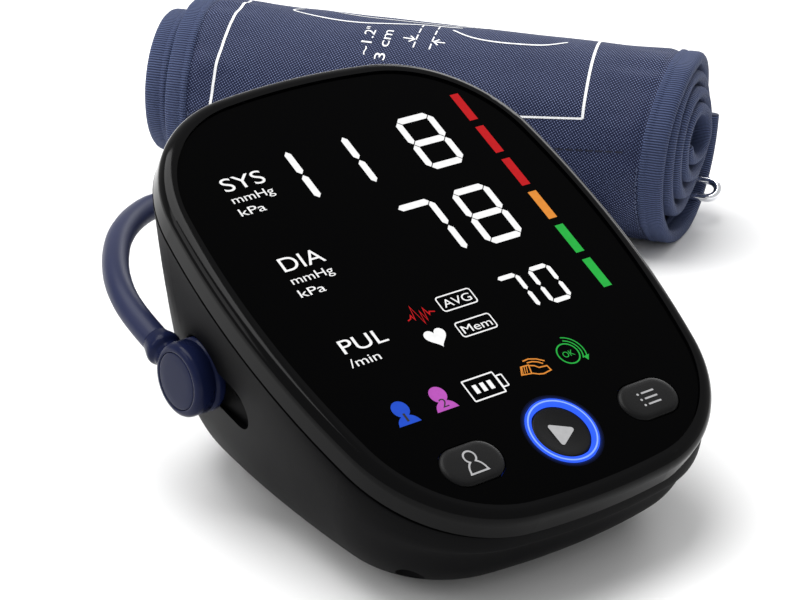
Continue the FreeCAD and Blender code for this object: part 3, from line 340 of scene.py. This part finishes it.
def rings_mesh(name, rings, material, body):
    """Closed rings of equal length joined into a skin, with one flat face at each end."""
    count = len(rings[0])
    points = [p for one in rings for p in one]
    faces = []
    for row in range(len(rings) - 1):
        for i in range(count):
            j = (i + 1) % count
            a = row * count
            faces.append((a + i, a + j, a + count + j, a + count + i))
    faces.append(tuple(reversed(range(count))))
    faces.append(tuple(range((len(rings) - 1) * count, len(rings) * count)))
    return face_outwards(mesh_object(name, points, faces, material, body))


def circle(matrix, radius, height, count, centre):
    """Points in metres round a circle, from millimetres in a frame."""
    out = []
    for i in range(count):
        angle = 2 * math.pi * i / count
        spot = Vector((centre[0] + radius * math.cos(angle),
                       centre[1] + radius * math.sin(angle), height))
        out.append(matrix @ (spot * MM))
    return out


def lathe(name, matrix, profile, material, body, count, centre=(0, 0)):
    """A turned piece from (radius, height) pairs in millimetres."""
    rings = [circle(matrix, radius, height, count, centre) for radius, height in profile]
    return rings_mesh(name, rings, material, body)


def stadium(half, radius, centre, count=20):
    """A rounded slot's outline: half is the reach of its straight part each way."""
    out = []
    for side in (1, -1):
        for i in range(count + 1):
            angle = side * math.pi / 2 - math.pi * i / count
            out.append((centre[0] + side * half + radius * math.cos(angle),
                        centre[1] + radius * math.sin(angle)))
    return out


# ------------------------------------------------------------------ hose route
HOSE_START = (-50.5, 36.43, 36.38)
LEAD = [(-50.5, 45.3, 39.04), (-47.7, 55.4, 41.4), (-41.7, 66.0, 42.3), (-32.2, 78.5, 41.7),
        (-18.3, 92.0, 38.9), (-1.6, 106.0, 33.2), (19.0, 119.0, 21.5), (38.1, 124.8, 17.3)]
TAIL = [(79.27, 105.67, 3.6), (97.3, 91.57, 11.5), (105.55, 80.2, 11.5)]
COIL_X, COIL_Y, COIL_REACH = 49.0, 94.6, 31.6
COIL_LOW, COIL_TOP, COIL_CORNERS = 3.6, 16.7, 34
COIL_FIRST, COIL_LAST = 78.75, 47.25 - 720
HOSE_RADIUS = 3.1


# ------------------------------------------------------------------ floor and light
def floor():
    m = Nodes("floor", (0.90, 0.90, 0.90), 0.9)
    m.drive("Base Color", m.blend(m.noise(m.coords(), 3.0), (0.885, 0.885, 0.885),
                                  (0.905, 0.905, 0.905)))
    data = bpy.data.meshes.new("floor")
    data.from_pydata([(-4, -4, 0), (4, -4, 0), (4, 4, 0), (-4, 4, 0)], [], [(0, 1, 2, 3)])
    data.materials.append(m.material)
    obj = bpy.data.objects.new("floor", data)
    scene.collection.objects.link(obj)


def softbox(name, place, aim, size, energy):
    data = bpy.data.lights.new(name, "AREA")
    data.shape = "RECTANGLE"
    data.size, data.size_y = size
    data.energy = energy
    obj = bpy.data.objects.new(name, data)
    scene.collection.objects.link(obj)
    obj.location = place
    obj.rotation_euler = (Vector(aim) - Vector(place)).to_track_quat("-Z", "Y").to_euler()


floor()
softbox("overhead", (-0.25, 0.35, 1.2), (-0.1, 0.1, 0), (1.0, 1.1), 19.0)
softbox("left", (-1.1, 0.45, 0.75), (0, 0, 0.03), (0.6, 0.6), 3.0)
softbox("right", (1.3, 0.6, 0.75), (0, 0, 0.03), (0.8, 0.6), 7.0)
scene.world = bpy.data.worlds.new("studio")
scene.world.use_nodes = True
scene.world.node_tree.nodes["Background"].inputs["Color"].default_value = (1.0, 1.0, 1.0, 1)
scene.world.node_tree.nodes["Background"].inputs["Strength"].default_value = 0.6
scene.view_settings.view_transform = "Standard"


# ------------------------------------------------------------------ flat drawings
CAPITAL = 0.73              # height of the built-in font's capitals at size 1


class Drawing:
    """Flat shapes in millimetres on a plane of a frame, gathered into one mesh."""

    def __init__(self, matrix, lift):
        self.matrix = matrix
        self.lift = lift
        self.points = []
        self.faces = []

    def shape(self, outline):
        """One face from an outline, which is turned round if it runs clockwise."""
        following = [*outline[1:], outline[0]]
        if sum(a[0] * b[1] - b[0] * a[1] for a, b in zip(outline, following)) < 0:
            outline = outline[::-1]
        first = len(self.points)
        self.points += [self.matrix @ (Vector((x, y, self.lift)) * MM) for x, y in outline]
        self.faces.append(tuple(range(first, first + len(outline))))

    def line(self, path, width, closed=False):
        """A line of even width with mitred corners."""
        spots = [Vector(p) for p in path]
        last = len(spots) - 1
        pairs = []
        for i, spot in enumerate(spots):
            before = spots[i - 1] if i or closed else None
            after = spots[(i + 1) % len(spots)] if i < last or closed else None
            ways = []
            if before is not None:
                ways.append((spot - before).normalized())
            if after is not None:
                ways.append((after - spot).normalized())
            sides = [Vector((-way.y, way.x)) for way in ways]
            side = sum(sides, Vector((0, 0))).normalized()
            reach = width / 2 / max(side.dot(sides[0]), 0.4)
            pairs.append((spot + side * reach, spot - side * reach))
        if closed:
            pairs.append(pairs[0])
        for one, two in zip(pairs, pairs[1:]):
            self.shape([one[0], one[1], two[1], two[0]])

    def disc(self, x, y, radius, count=28):
        self.shape(arc(x, y, radius, 0, 360, count)[:-1])

    def box(self, x, y, width, height):
        self.shape([(x, y), (x + width, y), (x + width, y + height), (x, y + height)])

    def words(self, text, first, last, baseline, cap):
        """Plain lettering from first to last in x, with a capital's height."""
        curve = bpy.data.curves.new("letters", "FONT")
        curve.body = text
        maker = bpy.data.objects.new("letters", curve)
        scene.collection.objects.link(maker)
        bpy.context.view_layer.update()
        seen = maker.evaluated_get(bpy.context.evaluated_depsgraph_get())
        flat = bpy.data.meshes.new_from_object(seen)
        left = min(v.co.x for v in flat.vertices)
        width = max(v.co.x for v in flat.vertices) - left
        across, up = (last - first) / width, cap / CAPITAL
        start = len(self.points)
        for v in flat.vertices:
            spot = Vector((first + (v.co.x - left) * across, baseline + v.co.y * up, self.lift))
            self.points.append(self.matrix @ (spot * MM))
        self.faces += [tuple(start + i for i in p.vertices) for p in flat.polygons]
        bpy.data.objects.remove(maker)
        bpy.data.curves.remove(curve)
        bpy.data.meshes.remove(flat)

    def mesh(self, name, material, body="console"):
        return mesh_object(name, self.points, self.faces, material, body, smooth=False)


def arc(x, y, radius, first, last, count=16):
    """Points on an arc, from one angle to another in degrees."""
    out = []
    for i in range(count + 1):
        angle = math.radians(first + (last - first) * i / count)
        out.append((x + radius * math.cos(angle), y + radius * math.sin(angle)))
    return out


def soft_box(x, y, width, height, radius):
    """A rectangle's outline with rounded corners."""
    out = []
    for i, (cx, cy) in enumerate(((x + width - radius, y + height - radius),
                                  (x + radius, y + height - radius),
                                  (x + radius, y + radius),
                                  (x + width - radius, y + radius))):
        out += arc(cx, cy, radius, 90 * i, 90 * i + 90, 5)
    return out


SEGMENTS = {"0": "abcdef", "1": "ef", "7": "abc", "8": "abcdefg"}


def digit(drawing, glyph, x, y, width, height, thick):
    """A seven-segment figure with pointed bars, a to f round it and g across."""
    half = thick / 2
    low, middle, top = y + half, y + height / 2, y + height - half
    left, right = x + half, x + width - half
    bars = {
        "a": ((left, top), (right, top)),
        "b": ((right, middle), (right, top)),
        "c": ((right, low), (right, middle)),
        "d": ((left, low), (right, low)),
        "e": ((left, low), (left, middle)),
        "f": ((left, middle), (left, top)),
        "g": ((left, middle), (right, middle)),
    }
    for key in SEGMENTS[glyph]:
        first, last = (Vector(p) for p in bars[key])
        along = (last - first).normalized()
        across = Vector((-along.y, along.x)) * half
        first, last = first + along * 0.16, last - along * 0.16
        bend = along * half
        drawing.shape([first, first + bend - across, last - bend - across, last,
                       last - bend + across, first + bend + across])


# ------------------------------------------------------------------ display
def heart(x, y, width, height):
    spots = []
    for i in range(40):
        t = 2 * math.pi * i / 40
        across = math.sin(t) ** 3
        up = (13 * math.cos(t) - 5 * math.cos(2 * t) - 2 * math.cos(3 * t) - math.cos(4 * t)) / 29
        spots.append((x + width / 2 * (1 + across), y + height * (0.59 + up)))
    return spots


def person(head, radius, left, right, low):
    """A round head on a flared bust, as one outline."""
    x, y = head
    neck = y - 0.87 * radius
    side = [(left, low), (left + 0.15, low + 0.35)]
    for i in range(1, 7):
        t = i / 6
        flare = (1 - t) ** 2 * (left + 0.15) + t * (1 - t) * (left + x - 0.8 - 0.5 * radius)
        rise = (1 - t) ** 2 * (low + 0.35) + 2 * t * (1 - t) * (low + 0.75 * (neck - low))
        side.append((flare + t * t * (x - 0.5 * radius), rise + t * t * neck))
    crown = arc(x, y, radius, 238, -58, 22)
    mirror = [((right + left) - px, py) for px, py in reversed(side)]
    return side + crown + mirror


def display():
    """Everything lit under the lens: figures, labels, level bars and signs."""
    lift = -0.56
    digits = Drawing(FACE, lift)
    for glyph, x in (("1", -15.5), ("1", 0.3), ("8", 16.1)):
        digit(digits, glyph, x, 27.3, 11.0, 16.3, 1.8)
    for glyph, x in (("7", 0.3), ("8", 16.2)):
        digit(digits, glyph, x, 3.7, 10.8, 16.8, 1.75)
    for glyph, x in (("7", 11.0), ("0", 20.1)):
        digit(digits, glyph, x, -15.6, 6.5, 10.8, 1.2)
    digits.mesh("display_digits", "lit_white")

    labels = Drawing(FACE, lift)
    labels.words("SYS", -34.7, -23.8, 36.1, 3.9)
    labels.words("mmHg", -34.8, -23.8, 32.6, 2.2)
    labels.words("kPa", -35.1, -28.4, 28.9, 2.2)
    labels.words("DIA", -34.6, -23.6, 12.1, 4.0)
    labels.words("mmHg", -34.8, -23.8, 8.5, 2.2)
    labels.words("kPa", -35.1, -28.4, 4.8, 2.2)
    labels.words("PUL", -34.7, -22.9, -11.6, 3.8)
    labels.words("/min", -35.3, -27.4, -15.3, 2.3)
    labels.words("AVG", -5.1, 2.6, -8.2, 2.2)
    labels.words("Mem", -5.2, 2.8, -15.8, 2.2)
    labels.line(soft_box(-6.0, -9.1, 9.5, 4.0, 0.7), 0.32, closed=True)
    labels.line(soft_box(-6.0, -16.6, 9.6, 4.0, 0.7), 0.32, closed=True)
    labels.shape(heart(-14.9, -17.3, 5.6, 5.0))
    labels.line(soft_box(-14.2, -32.2, 8.4, 5.5, 0.2), 0.36, closed=True)
    labels.line(soft_box(-5.6, -31.0, 1.5, 3.1, 0.2), 0.34, closed=True)
    for step in range(3):
        labels.box(-12.6 + 2.0 * step, -30.6, 1.1, 2.3)
    labels.mesh("display_labels", "lit_white")

    reds = Drawing(FACE, lift)
    reds.line([(-15.7, -8.5), (-14.8, -8.2), (-14.3, -7.4), (-13.9, -8.7), (-13.1, -5.2),
               (-12.2, -10.3), (-11.6, -7.0), (-11.1, -9.7), (-10.4, -6.5), (-9.8, -8.5),
               (-9.4, -7.8), (-8.1, -8.2)], 0.32)
    bars = {"lit_red": reds, "lit_orange": Drawing(FACE, lift), "lit_green": Drawing(FACE, lift)}
    for step, key in enumerate(("lit_red", "lit_red", "lit_red", "lit_orange", "lit_green",
                                "lit_green")):
        bars[key].box(35.5, 46.5 - 10.7 * step - 8.57, 2.45, 8.57)
    hand = bars["lit_orange"]
    hand.line([(0.4, -29.8), (1.5, -27.9), (3.6, -28.0), (2.9, -30.2)], 0.32, closed=True)
    for step in (0.8, 1.4, 2.0):
        hand.line([(step + 0.1, -29.7), (step + 0.9, -28.1)], 0.2)
    hand.line([(3.7, -28.2), (4.8, -28.6), (5.6, -29.4), (7.7, -29.6), (7.9, -30.9),
               (5.6, -31.2), (4.4, -30.9), (3.1, -30.2)], 0.32)
    hand.line([(2.9, -26.7), (4.6, -26.6), (6.4, -27.2), (8.0, -28.3)], 0.32)
    hand.line([(3.6, -27.4), (5.0, -27.5), (6.2, -28.0), (7.2, -28.8)], 0.32)
    wrap = bars["lit_green"]
    wrap.line(arc(14.7, -28.5, 2.7, 0, 360, 32)[:-1], 0.34, closed=True)
    wrap.words("OK", 13.2, 16.2, -29.3, 1.6)
    wrap.line(arc(14.7, -28.5, 3.5, 75, -38), 0.3)
    wrap.line(arc(14.7, -28.5, 4.4, 78, -30), 0.3)
    wrap.shape([(17.7, -30.4), (19.4, -30.2), (18.3, -31.6)])
    for key, drawing in bars.items():
        drawing.mesh("display_" + key[4:], key)

    blue = Drawing(FACE, lift)
    blue.shape(person((-31.6, -28.1), 2.1, -34.5, -28.7, -32.1))
    blue.mesh("display_user_one", "lit_blue")
    magenta = Drawing(FACE, lift)
    magenta.shape(person((-21.3, -27.7), 2.1, -24.2, -18.4, -31.8))
    magenta.mesh("display_user_two", "lit_magenta")
    numbers = Drawing(FACE, lift + 0.03)
    numbers.words("1", -31.95, -31.35, -31.4, 2.3)
    numbers.words("2", -22.2, -20.5, -31.1, 2.4)
    numbers.mesh("display_user_numbers", "dark")


display()


# ------------------------------------------------------------------ buttons
ROW = -45.4


def start_button():
    """The round cap with its play sign, and the glow of the ring round it."""
    profile = [(2.0, -6.0), (2.0, -3.6), (6.7, -3.5), (6.85, -3.3), (6.85, -1.5), (6.72, -1.15),
               (6.45, -0.98), (6.1, -0.95), (5.0, -1.02), (3.0, -1.12), (1.2, -1.18), (0.3, -1.2)]
    cap = lathe("start_cap", FACE, profile, "cap", "start_button", 96, (0, ROW))
    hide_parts("start_button")
    sign = Drawing(FACE, -1.02)
    corners = [(-2.0, -43.1), (3.0, -45.6), (-1.8, -48.3)]
    middle = Vector((sum(x for x, _ in corners) / 3, sum(y for _, y in corners) / 3))
    outline = []
    for x, y in corners:
        away = Vector((x, y)) - middle
        spot = middle + away * 0.86
        side = Vector((-away.y, away.x)).normalized()
        for turn in (60, 30, 0, -30, -60):
            angle = math.radians(turn)
            out = away.normalized() * math.cos(angle) + side * math.sin(angle)
            outline.append(spot + out * 0.55)
    sign.shape(outline)
    # the printed play sign glows with painted light
    sign.mesh("start_sign", "sign", "start_button")
    core = Drawing(FACE, -0.43)
    core.line(arc(0, ROW, 7.8, 0, 360, 96)[:-1], 0.36, closed=True)
    core.mesh("start_ring_core", "ring_core")
    for step, key in enumerate(("halo", "halo_mid", "halo_far")):
        halo = Drawing(FACE, -0.585)
        halo.line(arc(0, ROW, 8.65 + 0.3 * step, 0, 360, 96)[:-1], 0.3, closed=True)
        halo.mesh("start_ring_" + key, key)


def side_button(name, x, body):
    """A pill-shaped cap with a rounded rim."""
    rings = []
    for inset, height in ((2.9, -5.0), (2.9, -3.1), (0.1, -3.0), (0.0, -2.8), (0.0, -0.75),
                          (0.12, -0.42), (0.4, -0.18), (0.85, -0.06), (1.5, -0.02), (3.2, 0.0)):
        outline = stadium(2.8, 4.9 - inset, (x, ROW))
        rings.append([FACE @ (Vector((px, py, height)) * MM) for px, py in outline])
    pill = rings_mesh(name, rings, "cap", body)
    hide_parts(body)


def side_signs():
    # the printed user and menu signs glow with painted light
    user = Drawing(FACE, 0.05)
    user.line(person((-24.9, ROW + 1.3), 1.45, -27.2, -22.6, ROW - 2.7), 0.42, closed=True)
    user.mesh("user_button_sign", "sign", "user_button")
    rows = Drawing(FACE, 0.05)
    for step in (-1, 0, 1):
        rows.box(23.6, ROW + 1.5 * step - 0.22, 3.6, 0.44)
        rows.disc(22.6, ROW + 1.5 * step, 0.3, 14)
    rows.mesh("menu_button_sign", "sign", "menu_button")


start_button()
side_button("user_pill", -24.9, "user_button")
side_button("menu_pill", 24.9, "menu_button")
side_signs()


# ------------------------------------------------------------------ plug
OUTLET_RISE = math.radians(16.7)
OUTLET = axes(
    Vector((-1, 0, 0)),
    Vector((0, -math.sin(OUTLET_RISE), math.cos(OUTLET_RISE))),
    Vector((0, math.cos(OUTLET_RISE), math.sin(OUTLET_RISE))),
    CONSOLE + SOCKET + Vector((-4.5, 0, 0)),
)


def plug():
    """The elbow plug's turned pieces, and with them the O-ring on its nozzle."""
    barrel = [(7.6, 0.5), (8.1, 0.7), (8.3, 1.1), (8.3, 2.9), (8.05, 3.05), (8.05, 3.45),
              (8.3, 3.6), (8.3, 6.6), (8.2, 7.1), (7.95, 7.55), (7.5, 7.9), (6.95, 8.05),
              (6.6, 8.05), (6.52, 7.95), (6.5, 7.4)]
    head = lathe("plug_barrel", PLUG, barrel, "plug", "plug", 96)
    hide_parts("plug_body")
    disc = [(6.3, 7.3), (6.42, 7.5), (6.42, 7.9), (6.3, 8.02), (6.0, 8.08), (4.0, 8.12),
            (1.0, 8.13)]
    cap = lathe("plug_cap_disc", PLUG, disc, "plug", "plug", 96)
    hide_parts("plug_cap")
    nozzle = [(1.9, -11.0), (2.2, -10.7), (2.3, -10.4), (2.3, -6.7), (1.45, -6.6), (1.45, -5.4),
              (2.3, -5.3), (2.3, 0.9)]
    spigot = lathe("plug_nozzle", PLUG, nozzle, "plug", "plug", 48)
    sleeve = [(3.3, 5.4), (3.3, 8.7), (3.45, 9.1), (3.9, 9.5), (4.1, 10.0), (4.1, 10.6),
              (3.85, 11.5), (3.5, 12.4), (3.25, 13.2), (3.1, 13.6)]
    collar = lathe("hose_sleeve", OUTLET, sleeve, "plug", "plug", 64)
    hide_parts("hose_collar")
    return [head, cap, spigot, collar, nodes["plug_o_ring"]]


def hose(plug_pieces):
    """The air hose in one run: from the plug, round the put-away coil and on to the cuff."""
    points = [HOSE_START] + LEAD
    for step in range(COIL_CORNERS):
        share = step / (COIL_CORNERS - 1)
        angle = math.radians(COIL_FIRST + (COIL_LAST - COIL_FIRST) * share)
        points.append((COIL_X + COIL_REACH * math.cos(angle),
                       COIL_Y + COIL_REACH * math.sin(angle),
                       COIL_TOP + (COIL_LOW - COIL_TOP) * share))
    points += TAIL
    data = bpy.data.curves.new("hose", "CURVE")
    data.dimensions = "3D"
    data.bevel_depth = HOSE_RADIUS * MM
    data.bevel_resolution = 8
    data.resolution_u = 10
    data.use_fill_caps = True
    spline = data.splines.new("NURBS")
    spline.points.add(len(points) - 1)
    for target, point in zip(spline.points, points):
        target.co = (*console_point(*point), 1)
    spline.order_u = 3
    spline.use_endpoint_u = True
    data.materials.append(MATERIALS["hose"])
    obj = bpy.data.objects.new("hose", data)
    scene.collection.objects.link(obj)
    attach(obj, "plug")
    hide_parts("air_hose", "hose_coil", "hose_tail")


hose(plug())


# ------------------------------------------------------------------ cuff
# radius of the strip's outer face in the first half of each turn, from the outside inwards
TURN_RADII = (28.0, 21.4, 16.8, 12.2, 7.6, 4.2)
STRIP_THICKNESS = 3.1
LINING_SHIFT = 0.3          # keeps the lining's weave apart from the outer face's
STRIP_STEPS = 400
WORDS_RADIUS = 24.7
LAST_TURN = 1700
RIGHT_ENDS = (71.0, 73.2, 75.0, 76.4, 77.4, 77.8)


def smooth_step(value, first, last):
    share = min(max((value - first) / (last - first), 0.0), 1.0)
    return share * share * (3 - 2 * share)


def loop_shift(share):
    """How far the inner loops lie towards the console."""
    return 3.3 * smooth_step(share, 0.45, 1.5) + 1.35 * max(share - 1.5, 0.0)


def right_end(share):
    whole = min(int(share), len(RIGHT_ENDS) - 2)
    part = share - whole
    end = RIGHT_ENDS[whole] * (1 - part) + RIGHT_ENDS[whole + 1] * part
    skew = 4.2 - 2.6 * smooth_step(share, 0.6, 1.0)
    end += skew * (1 + math.cos(2 * math.pi * share))
    return end - 26.0 * smooth_step(share, 4.45, LAST_TURN / 360)


def left_end(share):
    return -67.5 - 7.0 * smooth_step(share, 0.8, 1.1)


def turn_radius(turn):
    """Radius and centre of the half turn that a place in the spiral lies on."""
    whole, part = divmod(turn, 360)
    below, after = TURN_RADII[int(whole)], TURN_RADII[int(whole) + 1]
    if part <= 180:
        return below, 0.0
    return (below + after) / 2, (after - below) / 2


def on_cuff(turn, along, lift=0.0):
    """A point of the strip: degrees from its outer end, place along the roll, lift outwards."""
    radius, centre = turn_radius(turn)
    share = turn / 360
    shift = loop_shift(share)
    arc_length = radius * math.radians(turn)
    wave = noise.noise(Vector((arc_length / 21, along / 30, 7.0))) * 0.55
    wave += noise.noise(Vector((arc_length / 7, along / 15, 3.0))) * 0.30
    calm = 1.0 - 0.75 * smooth_step(share, 0.8, 1.1)
    inset = min(along - left_end(share), right_end(share) - along)
    pucker = smooth_step(inset, 6.4, 9.0) * (1 - smooth_step(inset, 10.0, 24.0))
    wave += pucker * 1.1 * noise.noise(Vector((arc_length / 4.5, along / 40, 11.0)))
    lean = 4.2 * (1 - smooth_step(turn, 0, 80))
    angle = math.radians(turn)
    reach = radius + lift + wave * calm - lean
    spot = Vector((centre - shift + reach * math.cos(angle),
                   0.6 * shift - reach * math.sin(angle), along))
    spot.y = max(spot.y, -27.9)
    return CUFF @ (spot * MM)


# half of the strip's thickness at each distance from a bound end
EDGE = ((0.0, 0.0), (0.25, 0.95), (0.8, 1.5), (1.6, 1.76), (3.2, 1.78), (4.2, 1.74),
        (4.6, 1.58), (5.0, 1.78), (5.5, 1.92), (6.2, 1.9), (6.6, 1.45), (7.2, 1.2), (7.9, 1.38),
        (9.2, 1.55), (11.5, 1.55))
BINDING = 6.6


def strip_section(turn):
    """One ring round the strip at a turn: outer face left to right, inner face back.

    Each spot is its turn, its place along the roll, its lift, its distance from the nearer
    bound end, and 1 on the inner face.
    """
    share = turn / 360
    left, right = left_end(share), right_end(share)
    width = right - left
    line = [(left + e, e, h) for e, h in EDGE]
    steps = 36
    reach = EDGE[-1][0]
    for i in range(1, steps):
        e = reach + (width - 2 * reach) * i / steps
        line.append((left + e, min(e, width - e), 1.55))
    line += [(right - e, e, h) for e, h in reversed(EDGE)]
    ring = []
    for along, e, half in line:
        ring.append((turn, along, half - STRIP_THICKNESS / 2, e, 0))
    for along, e, half in reversed(line[1:-1]):
        ring.append((turn, along, -half - STRIP_THICKNESS / 2, e, 1))
    return ring


def cuff():
    """The rolled strip: cloth outside, lining inside with painted shade for the inner folds in
    its colour, binding round the ends and edges.
    """
    points, uvs, faces, kinds = [], [], [], []
    turns = [LAST_TURN * i / STRIP_STEPS for i in range(STRIP_STEPS + 1)]
    length = 0.0
    before = 0.0
    rings = []
    for turn in turns:
        length += turn_radius(turn)[0] * math.radians(turn - before)
        before = turn
        ring = strip_section(turn)
        rings.append(ring)
        for spot in ring:
            points.append(on_cuff(*spot[:3]))
            uvs.append((length * MM, spot[1] * MM + spot[4] * LINING_SHIFT))
    count = len(rings[0])
    for row in range(len(rings) - 1):
        for i in range(count):
            j = (i + 1) % count
            a = row * count
            faces.append((a + i, a + count + i, a + count + j, a + j))
            one, two = rings[row][i], rings[row][j]
            bound = max(one[3], two[3]) <= BINDING or turns[row + 1] > LAST_TURN - 30
            bound = bound or turns[row] < 14
            kinds.append(1 if bound else 2 if one[4] or two[4] else 0)
    faces.append(tuple(range(count)))
    faces.append(tuple(reversed(range((len(rings) - 1) * count, len(rings) * count))))
    kinds += [1, 1]
    obj = mesh_object("cuff_strip", points, faces, "cloth", "plug", uvs=uvs)
    obj.data.materials.append(MATERIALS["binding"])
    # the lining faces carry painted shade for the roll's inner folds in their colour
    obj.data.materials.append(MATERIALS["lining_and_fold_shade"])
    for polygon, kind in zip(obj.data.polygons, kinds):
        polygon.material_index = kind
    face_outwards(obj)
    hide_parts("outer_cloth", "inner_cloth", "air_bladder", "edge_binding_right",
                "edge_binding_left", "hook_patch", "loop_patch", "ring_strap")
    return obj, length


class Printed:
    """Lines and dashes laid on the strip's outer face, gathered into one mesh."""

    def __init__(self, lift):
        self.lift = lift
        self.points = []
        self.faces = []

    def line(self, path, width, step=1.5):
        spots = []
        for one, two in zip(path, path[1:]):
            radius = turn_radius(one[0])[0]
            far = math.hypot(radius * math.radians(two[0] - one[0]), two[1] - one[1])
            pieces = max(int(far / step), 1)
            for i in range(pieces):
                share = i / pieces
                spots.append((one[0] + (two[0] - one[0]) * share,
                              one[1] + (two[1] - one[1]) * share))
        spots.append(path[-1])
        first = len(self.points)
        for i, (turn, along) in enumerate(spots):
            radius = turn_radius(turn)[0]
            low, high = spots[max(i - 1, 0)], spots[min(i + 1, len(spots) - 1)]
            way = Vector((radius * math.radians(high[0] - low[0]), high[1] - low[1])).normalized()
            side = Vector((-way.y, way.x)) * width / 2
            for sign in (1, -1):
                self.points.append(on_cuff(turn + sign * math.degrees(side.x / radius),
                                           along + sign * side.y, self.lift))
        for i in range(len(spots) - 1):
            a = first + 2 * i
            self.faces.append((a, a + 2, a + 3, a + 1))

    def dashes(self, first, last, length, pitch, width):
        radius = turn_radius(first[0])[0]
        far = math.hypot(radius * math.radians(last[0] - first[0]), last[1] - first[1])
        for i in range(int(far / pitch)):
            ends = []
            for reach in (i * pitch, i * pitch + length):
                share = reach / far
                ends.append((first[0] + (last[0] - first[0]) * share,
                             first[1] + (last[1] - first[1]) * share))
            self.line(ends, width)

    def mesh(self, name, material):
        obj = mesh_object(name, self.points, self.faces, material, "plug")
        return obj


def stitches():
    """A row of stitches along the inside of each binding."""
    rows = Printed(0.05)
    for end, inside in ((right_end, -7.2), (left_end, 7.2)):
        for turn in range(100, 330, 4):
            share = (turn + 2) / 360
            along = end(share) + inside
            rows.dashes((turn, along), (turn + 4.0, along), 1.25, 1.9, 0.42)
    return rows.mesh("cuff_stitches", "stitch")


def curved(path):
    """A smooth line through the points."""
    spots = [Vector(p) for p in (path[0], *path, path[-1])]
    out = []
    for a, b, c, d in zip(spots, spots[1:], spots[2:], spots[3:]):
        for i in range(6):
            t = i / 6
            spot = 2 * b + (c - a) * t + (2 * a - 5 * b + 4 * c - d) * t ** 2
            spot += (3 * b - a - 3 * c + d) * t ** 3
            out.append(tuple(spot / 2))
    return out + [tuple(path[-1])]


def prints():
    """A plain printed frame, an outline of a forearm, and two size hints."""
    ink = Printed(0.10)
    ink.line([(285, -52), (186, -54)], 0.75)
    ink.line([(285, 48), (209, 49)], 0.75)
    ink.line(curved([(209, 49), (203, 20), (198.5, -5), (192, -35), (186, -54)]), 0.55)
    ink.line(curved([(283, -36), (274, -38), (267, -30), (265, -18), (268, -8), (273, 0),
                     (277, 10)]), 0.6)
    ink.line(curved([(286, -28), (279, -22), (277, -10), (280, 4), (284, 18)]), 0.6)
    ink.line(curved([(270, 8), (262, 14), (259, 24), (262, 34), (270, 40)]), 0.6)
    for along in (-0.5, 4.0):
        ink.dashes((244, along), (280, along), 2.4, 3.4, 0.4)
    for along, way in ((-0.9, -1), (4.4, 1)):
        ink.line([(252, along), (252, along + 3.2 * way)], 0.45)
        ink.line([(255, along + 1.4 * way), (252, along), (249, along + 1.4 * way)], 0.45)
    return ink.mesh("cuff_print", "print")


def printed_words():
    """Size hints, lettered along the roll and wrapped on its outer face."""
    drawing = Drawing(Matrix.Identity(4), 0.0)
    drawing.words("3 cm", 0.0, 11.5, -10.2, 3.1)
    drawing.words('~1.2"', 1.0, 12.5, -5.4, 3.1)
    points = []
    for spot in drawing.points:
        x, y = spot.x / MM, spot.y / MM
        points.append(on_cuff(231.0 + math.degrees(x / WORDS_RADIUS), -17.5 - y, 0.1))
    obj = mesh_object("cuff_words", points, drawing.faces, "print", "plug", smooth=False)
    return obj


def cross_seam():
    """The short dark seam across the cloth near its right end."""
    rows = Printed(0.05)
    rows.dashes((188, 40), (192, 63.5), 2.0, 2.7, 0.45)
    return rows.mesh("cuff_cross_seam", "seam")


strip, strip_length = cuff()
cuff_stitches = stitches()
details = [prints(), printed_words(), cross_seam(), cuff_stitches]
